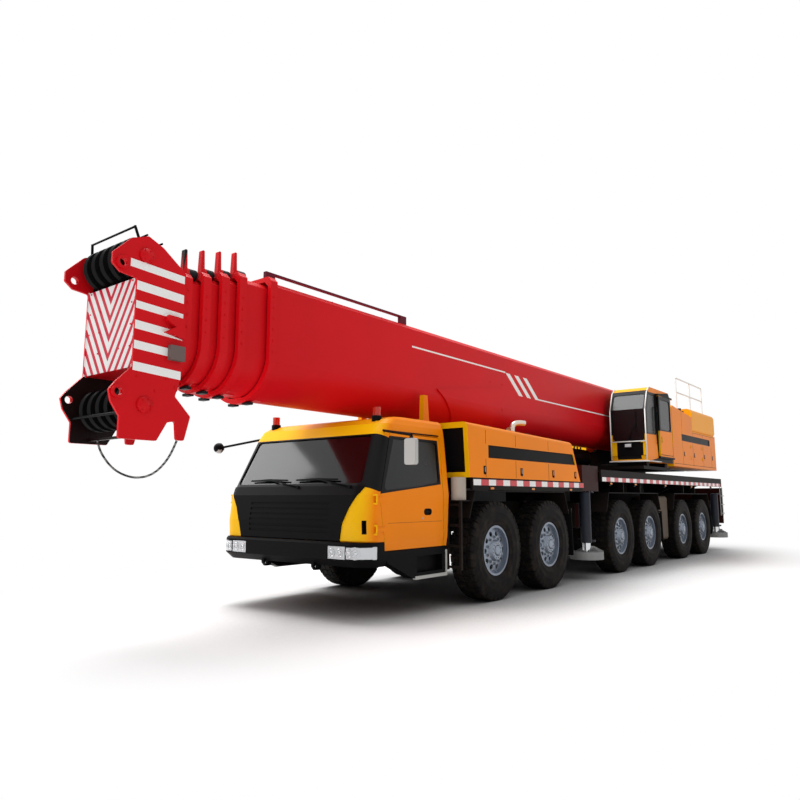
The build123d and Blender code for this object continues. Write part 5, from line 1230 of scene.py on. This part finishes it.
# %% Crane cab rails
POST = [(-6.372, 2.230), (-6.372, 3.330), (-6.548, 3.735), (-6.72, 3.865)]
bm = bmesh.new()
for y in (0.690, 1.468):
    for (x, z), (next_x, next_z) in zip(POST, POST[1:]):
        rod(bm, (x, y, z), (next_x, y, next_z), 0.013, sides=14, index=0)
    for z in (2.45, 3.05):
        rod(bm, (-6.405, y, z), (-6.372, y, z), 0.008, sides=10, index=0)
rod(bm, (-6.372, 0.690, 2.632), (-6.372, 1.468, 2.632), 0.011, sides=14, index=0)
slab(bm, (-6.455, 0.640, 2.186), (-6.345, 1.500, 2.214), 0.006, 0)
slab(bm, (-7.060, 1.470, 2.190), (-6.470, 1.560, 2.206), 0.004, 0)
rod(bm, (-7.02, 1.512, 2.62), (-7.02, 1.512, 3.42), 0.012, sides=14, index=1)
for z in (2.62, 3.42):
    rod(bm, (-7.02, 1.470, z), (-7.02, 1.512, z), 0.010, sides=12, index=1)
slab(bm, (-6.412, 0.985, 2.500), (-6.368, 1.155, 2.590), 0.010, 1)
slab(bm, (-6.372, 1.000, 2.512), (-6.358, 1.140, 2.578), 0.008, 2)
rod(bm, (-6.392, 1.075, 2.655), (-6.372, 1.075, 2.655), 0.022, sides=20, index=1)
rod(bm, (-6.376, 1.075, 2.660), (-6.380, 1.245, 3.060), 0.008, 0.005, sides=10, index=1)
slab(bm, (-6.392, 1.238, 2.840), (-6.378, 1.252, 3.290), 0.004, 1)
finish_piece(bm, "crane_cab_rails_and_lamp", [rail_white, satin_black, lamp_lens], "superstructure")

# %% [markdown]
# ## Windows of the crane cab
# The fixed side window is set in a rubber seal, a hoop round its outline, and flat strips close the foot
# and sides of the windscreen. The sliding door carries its own pane, seal, handle and lower rail, so
# they are drawn as a second piece that rides the door.

# %% Crane cab seals
SIDE_WINDOW = [(-7.070, 2.810), (-6.450, 2.810), (-6.450, 3.335), (-6.590, 3.700), (-7.070, 3.700)]
bm = bmesh.new()
hoop(bm, [(x, 1.478, z) for x, z in SIDE_WINDOW], 0.020, (0, 0.006, 0), 0.05, 0)
slab(bm, (-6.402, 0.722, 2.640), (-6.392, 1.428, 2.662), 0.003, 0)
for y in (0.722, 1.414):
    slab(bm, (-6.402, y, 2.640), (-6.392, y + 0.014, 3.345), 0.003, 0)
finish_piece(bm, "crane_cab_window_seals", [seal_rubber], "superstructure")

# %% Crane cab door glass
DOOR_PANE = [(-7.930, 2.940), (-7.215, 2.940), (-7.215, 3.630), (-7.930, 3.630)]
bm = bmesh.new()
plate(bm, [(x, 1.505, z) for x, z in grown(DOOR_PANE, 0.004)], (0, 0.006, 0), 0.09, 0)
hoop(bm, [(x, 1.522, z) for x, z in grown(DOOR_PANE, 0.016)], 0.026, (0, 0.008, 0), 0.09, 1)
rod(bm, (-7.235, 1.520, 2.652), (-7.235, 1.520, 2.748), 0.007, sides=12, index=2)
slab(bm, (-7.99, 1.5255, 2.36), (-7.16, 1.531, 2.372), 0.002, 1)
finish_piece(bm, "crane_cab_door_glass", [side_glass, seal_rubber, zinc_bolt], "crane_cab_door")

# %% [markdown]
# ## Driver's place in the crane cab
# Through the glass show two control levers with turned knobs, the padded seat and back with rounded
# edges, and a screen on the side pillar.

# %% Crane cab controls
bm = bmesh.new()
for y in (0.795, 1.355):
    rod(bm, (-7.18, y, 2.85), (-7.15, y, 3.02), 0.014, 0.011, 14, 0)
    turned(bm, [(0.0, 0.05), (0.018, 0.045), (0.026, 0.02), (0.020, -0.02), (0.0, -0.03)], (-7.145, y, 3.05),
           (0.15, 0, 1), 16, 0)
slab(bm, (-7.69, 0.90, 2.755), (-7.27, 1.25, 2.815), 0.03, 1)
slab(bm, (-7.75, 0.89, 3.40), (-7.85, 1.26, 3.62), 0.03, 1)
slab(bm, (-6.66, 1.30, 2.95), (-6.60, 1.41, 3.18), 0.012, 0)
finish_piece(bm, "crane_cab_controls", [dash_plastic, seat_cloth], "superstructure")

# %% [markdown]
# ## Machinery house
# The house is closed by doors with latches and hinges, so fine dark seams show where they meet. They are
# drawn as the cover's seams are. Slats close the vent in the front wall.

# %% House seams and latches
bm = bmesh.new()
for x in (-8.95, -9.80, -10.72, -11.50):
    top = 3.05 if x < -9.75 else 3.52
    slab(bm, (x - SEAM_HALF, 1.4795, 2.20), (x + SEAM_HALF, 1.4808, 2.76), 0.0004, 1)
    slab(bm, (x - SEAM_HALF, 1.4795, 2.98), (x + SEAM_HALF, 1.4808, top), 0.0004, 1)
slab(bm, (-11.92, 1.4795, 2.216), (-8.23, 1.4808, 2.224), 0.0004, 1)
slab(bm, (-11.92, 1.4795, 3.050), (-9.82, 1.4808, 3.058), 0.0004, 1)
for x in (-9.05, -9.90, -10.82, -11.60):
    slab(bm, (x - 0.030, 1.479, 2.42), (x + 0.030, 1.487, 2.53), 0.004, 0)
    rod(bm, (x, 1.485, 2.45), (x, 1.485, 2.51), 0.008, sides=12, index=2)
for x in (-9.60, -10.60):
    for z in (2.40, 2.68):
        rod(bm, (x, 1.484, z - 0.04), (x, 1.484, z + 0.04), 0.009, sides=12, index=3)
for k in range(7):
    y = 0.82 + 0.085 * k
    slab(bm, (-8.205, y, 2.60), (-8.192, y + 0.04, 3.20), 0.004, 1)
both_sides(bm)
finish_piece(bm, "house_seams_and_latches", [satin_black, seal_rubber, zinc_bolt, cab_yellow],
             "superstructure")

# %% [markdown]
# ## Winch
# Between the houses the winch drum is grooved for its rope. The groove is really a helix, but at this
# pitch rings look the same, so one profile of forty-four small half circles is spun round the axle. A
# bolted cap closes the bearing at each end.

# %% Winch drum
COILS, DRUM_HALF, DRUM_R, GROOVE = 44, 0.49, 0.2495, 0.022
WINCH = Vector((-11.5, 0, 2.64))
coil_pitch = 2 * DRUM_HALF / COILS
grooved = [(DRUM_R, -DRUM_HALF)]
for k in range(COILS):
    middle = -DRUM_HALF + coil_pitch * (k + 0.5)
    grooved += [(DRUM_R + GROOVE * math.sin(a), middle - coil_pitch / 2 * math.cos(a))
                for a in (math.pi * s / 5 for s in range(1, 5))]
    grooved.append((DRUM_R + 0.001, middle + coil_pitch / 2))
bm = bmesh.new()
turned(bm, grooved + [(0.245, DRUM_HALF), (0.245, -DRUM_HALF)], WINCH, (0, 1, 0), 48, 0)
finish_piece(bm, "grooved_drum", [cast_steel], "superstructure")

# %% Winch bearing caps
bm = bmesh.new()
for sign in (1, -1):
    turned(bm, [(0.0, 0.012), (0.16, 0.012), (0.18, 0.004), (0.18, 0.0), (0.0, 0.0)],
           WINCH + Vector((0, sign * 0.621, 0)), (0, sign, 0), 32, 0)
    for along, up in clock(10):
        spot = WINCH + Vector((0.14 * along, sign * 0.631, 0.14 * up))
        rod(bm, spot, spot + Vector((0, sign * 0.014, 0)), 0.012, sides=6, index=1)
finish_piece(bm, "winch_bearing_caps", [chassis_black, zinc_bolt], "superstructure")

# %% [markdown]
# ## Outriggers
# A jack's float is a cast pad with ribs running from its collar to its rim, and the jack's tube is closed
# by a bolted cap. Both are spun profiles with their bolts and ribs set round them.

# %% Floats and jack caps
JACK_STATIONS = {"front": -3.420, "rear": -12.080}
JACK_LINE = 1.365
FLOAT_TOP, CAP_TOP = 0.4695, 1.520
RIB = [(0.070, 0.0), (0.245, 0.0), (0.225, 0.012), (0.105, 0.075), (0.070, 0.080)]
RIB_HALF = 0.007
COLLAR = [(0.0725, 0.0), (0.092, 0.0), (0.092, 0.082), (0.084, 0.090), (0.0725, 0.090)]
CAP = [(0.0, 0.020), (0.050, 0.020), (0.060, 0.012), (0.105, 0.010), (0.105, -0.012), (0.0, -0.012)]
TUBE_LIP = [(0.0955, -0.02), (0.112, -0.02), (0.112, 0.02), (0.0955, 0.02)]


def float_ribs(bm, x, y):
    """Eight tapering ribs round a collar on the float."""
    foot = Vector((x, y, FLOAT_TOP))
    for c, s in clock(8, 0.5):
        out, across = Vector((c, s, 0)), Vector((-s, c, 0)) * RIB_HALF
        plate(bm, [foot + out * reach + Vector((0, 0, up)) - across for reach, up in RIB], across * 2, 0, 0)
    turned(bm, COLLAR, foot, (0, 0, 1), 32, 0)


def jack_cap(bm, x, y):
    """The cap on top of the tube with its eight bolts, and the lip at the tube's foot."""
    turned(bm, CAP, (x, y, 1.512), (0, 0, 1), 32, 0)
    turned(bm, TUBE_LIP, (x, y, 0.650), (0, 0, 1), 32, 0)
    for c, s in clock(8):
        spot = Vector((x + 0.084 * c, y + 0.084 * s, CAP_TOP))
        rod(bm, spot, spot + Vector((0, 0, 0.012)), 0.010, sides=6, index=1)


for where, x in JACK_STATIONS.items():
    for side, sign in (("left", 1), ("right", -1)):
        corner = f"{where}_{side}"
        bm = bmesh.new()
        float_ribs(bm, x, sign * JACK_LINE)
        finish_piece(bm, f"float_ribs_{corner}", [float_grey], f"outrigger_jack_{corner}")
        bm = bmesh.new()
        jack_cap(bm, x, sign * JACK_LINE)
        finish_piece(bm, f"jack_cap_{corner}", [jack_blue, zinc_bolt], f"outrigger_beam_{corner}")

# %% [markdown]
# ## Drive line
# Under the frame a drive shaft links the axles. Each length is a tube with a flanged joint at both
# ends, and the joint is one profile spun round the shaft, pointed forwards or backwards.

# %% Drive shafts
SHAFT_Z = 0.685
AXLES = (0.0, -1.65, -4.70, -6.35, -8.65, -10.30)
bm = bmesh.new()
for front, rear in zip(AXLES, AXLES[1:]):
    start, end = front - 0.20, rear + 0.20
    rod(bm, (start, 0, SHAFT_Z), (end, 0, SHAFT_Z), 0.050, sides=24, index=0)
    for x, way in ((start, -1), (end, 1)):
        turned(bm, [(0.0, 0.0), (0.088, 0.0), (0.088, 0.020), (0.062, 0.028), (0.060, 0.110), (0.050, 0.130),
                    (0.0, 0.130)], (x, 0, SHAFT_Z), (way, 0, 0), 24, 0)
finish_piece(bm, "drive_shafts", [cast_steel], "carrier")

# %% [markdown]
# ## Air tanks
# The brakes' air tanks are steel cylinders with domed ends, held by two straps each. The domes need a
# profile of a few points only, because they are seen from afar and in shade.

# %% Air tanks
DOME = [(0.0, 0.36), (0.06, 0.355), (0.105, 0.33), (0.115, 0.30)]
TANK = DOME + [(r, -y) for r, y in reversed(DOME)]
STRAP = [(0.115, -0.015), (0.119, -0.015), (0.119, 0.015), (0.115, 0.015)]
bm = bmesh.new()
for x in (-2.72, -11.28):
    for z in (0.98, 1.23):
        turned(bm, TANK, (x, 0.72, z), (0, 1, 0), 24, 0)
        for y in (0.55, 0.89):
            turned(bm, STRAP, (x, y, z), (0, 1, 0), 24, 1)
both_sides(bm)
finish_piece(bm, "air_tanks", [chassis_black, zinc_bolt], "carrier")

# %% [markdown]
# ## Mud flaps
# Rubber flaps hang behind the wheels from a steel strip with three bolts. A flap is a plate that hangs
# slightly forwards at its foot.

# %% Mud flaps
bm = bmesh.new()
for x, low, high in ((-2.46, 0.46, 1.22), (-7.12, 0.46, 1.10), (-11.10, 0.46, 1.22)):
    plate(bm, [(x, 1.10, high), (x, 1.475, high), (x - 0.04, 1.475, low), (x - 0.04, 1.10, low)],
          (-0.012, 0, 0), 0.02, 0)
    slab(bm, (x - 0.030, 1.08, high - 0.04), (x + 0.012, 1.478, high + 0.02), 0.004, 1)
    for y in (1.15, 1.29, 1.43):
        rod(bm, (x + 0.010, y, high - 0.01), (x + 0.020, y, high - 0.01), 0.010, sides=6, index=2)
both_sides(bm)
finish_piece(bm, "mud_flaps", [seal_rubber, chassis_black, zinc_bolt], "carrier")

# %% [markdown]
# ## Rear end
# The tail board carries its lamps in a black tray, two round reflectors and steps of pale pressed
# steel up to the deck.

# %% Rear end
bm = bmesh.new()
hoop(bm, [(-12.549, y, z) for y, z in ((1.136, 1.386), (1.434, 1.386), (1.434, 1.534), (1.136, 1.534))],
     0.014, (-0.018, 0, 0), 0.012, 0)
for y in (1.235, 1.335):
    slab(bm, (-12.564, y - 0.003, 1.402), (-12.561, y + 0.003, 1.518), 0.001, 0)
turned(bm, [(0.0, 0.012), (0.034, 0.010), (0.040, 0.0), (0.0, 0.0)], (-12.550, 1.28, 1.22), (-1, 0, 0), 24, 1)
turned(bm, [(0.038, 0.010), (0.046, 0.008), (0.046, 0.0), (0.038, 0.0)], (-12.550, 1.28, 1.22), (-1, 0, 0),
       24, 0)
both_sides(bm)
for z in (0.98, 1.22, 1.46):
    slab(bm, (-12.500, 1.440, z - 0.012), (-12.260, 1.495, z + 0.012), 0.005, 2)
for x in (-12.490, -12.270):
    slab(bm, (x - 0.008, 1.440, 0.92), (x + 0.008, 1.462, 1.70), 0.003, 2)
finish_piece(bm, "rear_lamp_trays_and_steps", [black_plastic, tail_red, pale_steel], "carrier")

# %% [markdown]
# ## Studio
# A pale floor under the crane and a white surround. The crane's weight shows in the dark shade between
# its wheels, which an ambient occlusion node deepens in the floor's own colour, at any pose. Far from
# the crane the floor goes over to plain white for what is seen, so that no horizon shows.

# %% Floor
SHADE_REACH = 3.0
FLOOR_NEAR, FLOOR_FAR = 3.4, 6.0  # across the crane; along it the distances are 1 / 0.48 as long


def seen_rays(tree):
    """1 for what is seen directly, in a gloss or through glass, and 0 for light on the crane."""
    rays = add(tree, "ShaderNodeLightPath").outputs
    direct = add(tree, "ShaderNodeMath", {"operation": "MAXIMUM"}, i0=rays["Is Camera Ray"],
                 i1=rays["Is Glossy Ray"])
    return add(tree, "ShaderNodeMath", {"operation": "MAXIMUM"}, i0=direct.outputs[0],
               i1=rays["Is Transmission Ray"]).outputs[0]


bpy.ops.mesh.primitive_plane_add(size=240, location=(0, 0, 0))
floor = bpy.context.object
floor.name = "studio_floor"
floor_finish, floor_tree, floor_shader, floor_place = new_finish("studio_floor_matt_white")
floor_shader.inputs["Roughness"].default_value = 0.9
floor_shader.inputs["Specular IOR Level"].default_value = 0.1
# painted shadow: ambient occlusion darkens the floor's own colour under and between the wheels
crevice = add(floor_tree, "ShaderNodeAmbientOcclusion", {"samples": 8}, Distance=SHADE_REACH)
open_sky = add(floor_tree, "ShaderNodeMapRange", Value=crevice.outputs["AO"], i1=0.05, i2=0.85)
floor_colour = add(floor_tree, "ShaderNodeMix", COLOUR_MIX, i0=open_sky.outputs[0], i6=linear("3A3636"),
                   i7=linear("F2F2F2"))
floor_tree.links.new(floor_colour.outputs[2], floor_shader.inputs["Base Color"])
plain_white = add(floor_tree, "ShaderNodeEmission", Color=linear("FFFFFF"), Strength=1.0)
squeezed = add(floor_tree, "ShaderNodeVectorMath", {"operation": "MULTIPLY"}, i0=floor_place,
               i1=(0.48, 1, 0))
distance = add(floor_tree, "ShaderNodeVectorMath", {"operation": "LENGTH"}, i0=squeezed.outputs[0])
far = add(floor_tree, "ShaderNodeMapRange", {"interpolation_type": "SMOOTHSTEP"},
          Value=distance.outputs["Value"], i1=FLOOR_NEAR, i2=FLOOR_FAR)
view = add(floor_tree, "ShaderNodeMixShader", i0=far.outputs[0], i1=floor_shader.outputs[0],
           i2=plain_white.outputs[0])
share = add(floor_tree, "ShaderNodeMixShader", i0=seen_rays(floor_tree), i1=floor_shader.outputs[0],
            i2=view.outputs[0])
floor_tree.links.new(share.outputs[0], floor_tree.nodes["Material Output"].inputs[0])
floor.data.materials.append(floor_finish)
print("floor", floor.name, floor_finish.name)

# %% [markdown]
# ## Light
# The world is the soft fill, and it is plain white where it is seen. A broad lamp overhead throws the
# soft shadow, and a smaller one from the front right makes the forward panels brighter than the sides,
# as in the photograph.

# %% World
SOFT_LIGHT = 0.66
world = bpy.data.worlds.new("studio")
bpy.context.scene.world = world
world.use_nodes = True
world_tree = world.node_tree
world_tree.nodes.clear()
world_output = world_tree.nodes.new("ShaderNodeOutputWorld")
soft = add(world_tree, "ShaderNodeBackground", Color=linear("FFFFFF"), Strength=SOFT_LIGHT)
white = add(world_tree, "ShaderNodeBackground", Color=linear("FFFFFF"), Strength=1.0)
world_mix = add(world_tree, "ShaderNodeMixShader", i0=seen_rays(world_tree), i1=soft.outputs[0],
                i2=white.outputs[0])
world_tree.links.new(world_mix.outputs[0], world_output.inputs[0])
print("fill", SOFT_LIGHT)

# %% Lamps
LAMPS = [
    # name, place, size, power, target
    ("overhead", at(1, -5, 17), 11.0, 3700, at(-3, 0, 1.0)),
    ("softbox", at(5.4, -10.5, 6.8), 5.0, 260, at(2.4, -0.6, 1.9)),
]
for name, place, size, power, target in LAMPS:
    lamp_data = bpy.data.lights.new(name, "AREA")
    lamp_data.size = size
    lamp_data.energy = power
    lamp = bpy.data.objects.new(name, lamp_data)
    lamp.location = place
    lamp.rotation_euler = (target - place).to_track_quat("-Z", "Y").to_euler()
    bpy.context.scene.collection.objects.link(lamp)
    print(name, power, "W")

bpy.context.scene.view_settings.view_transform = "Standard"

# %% [markdown]
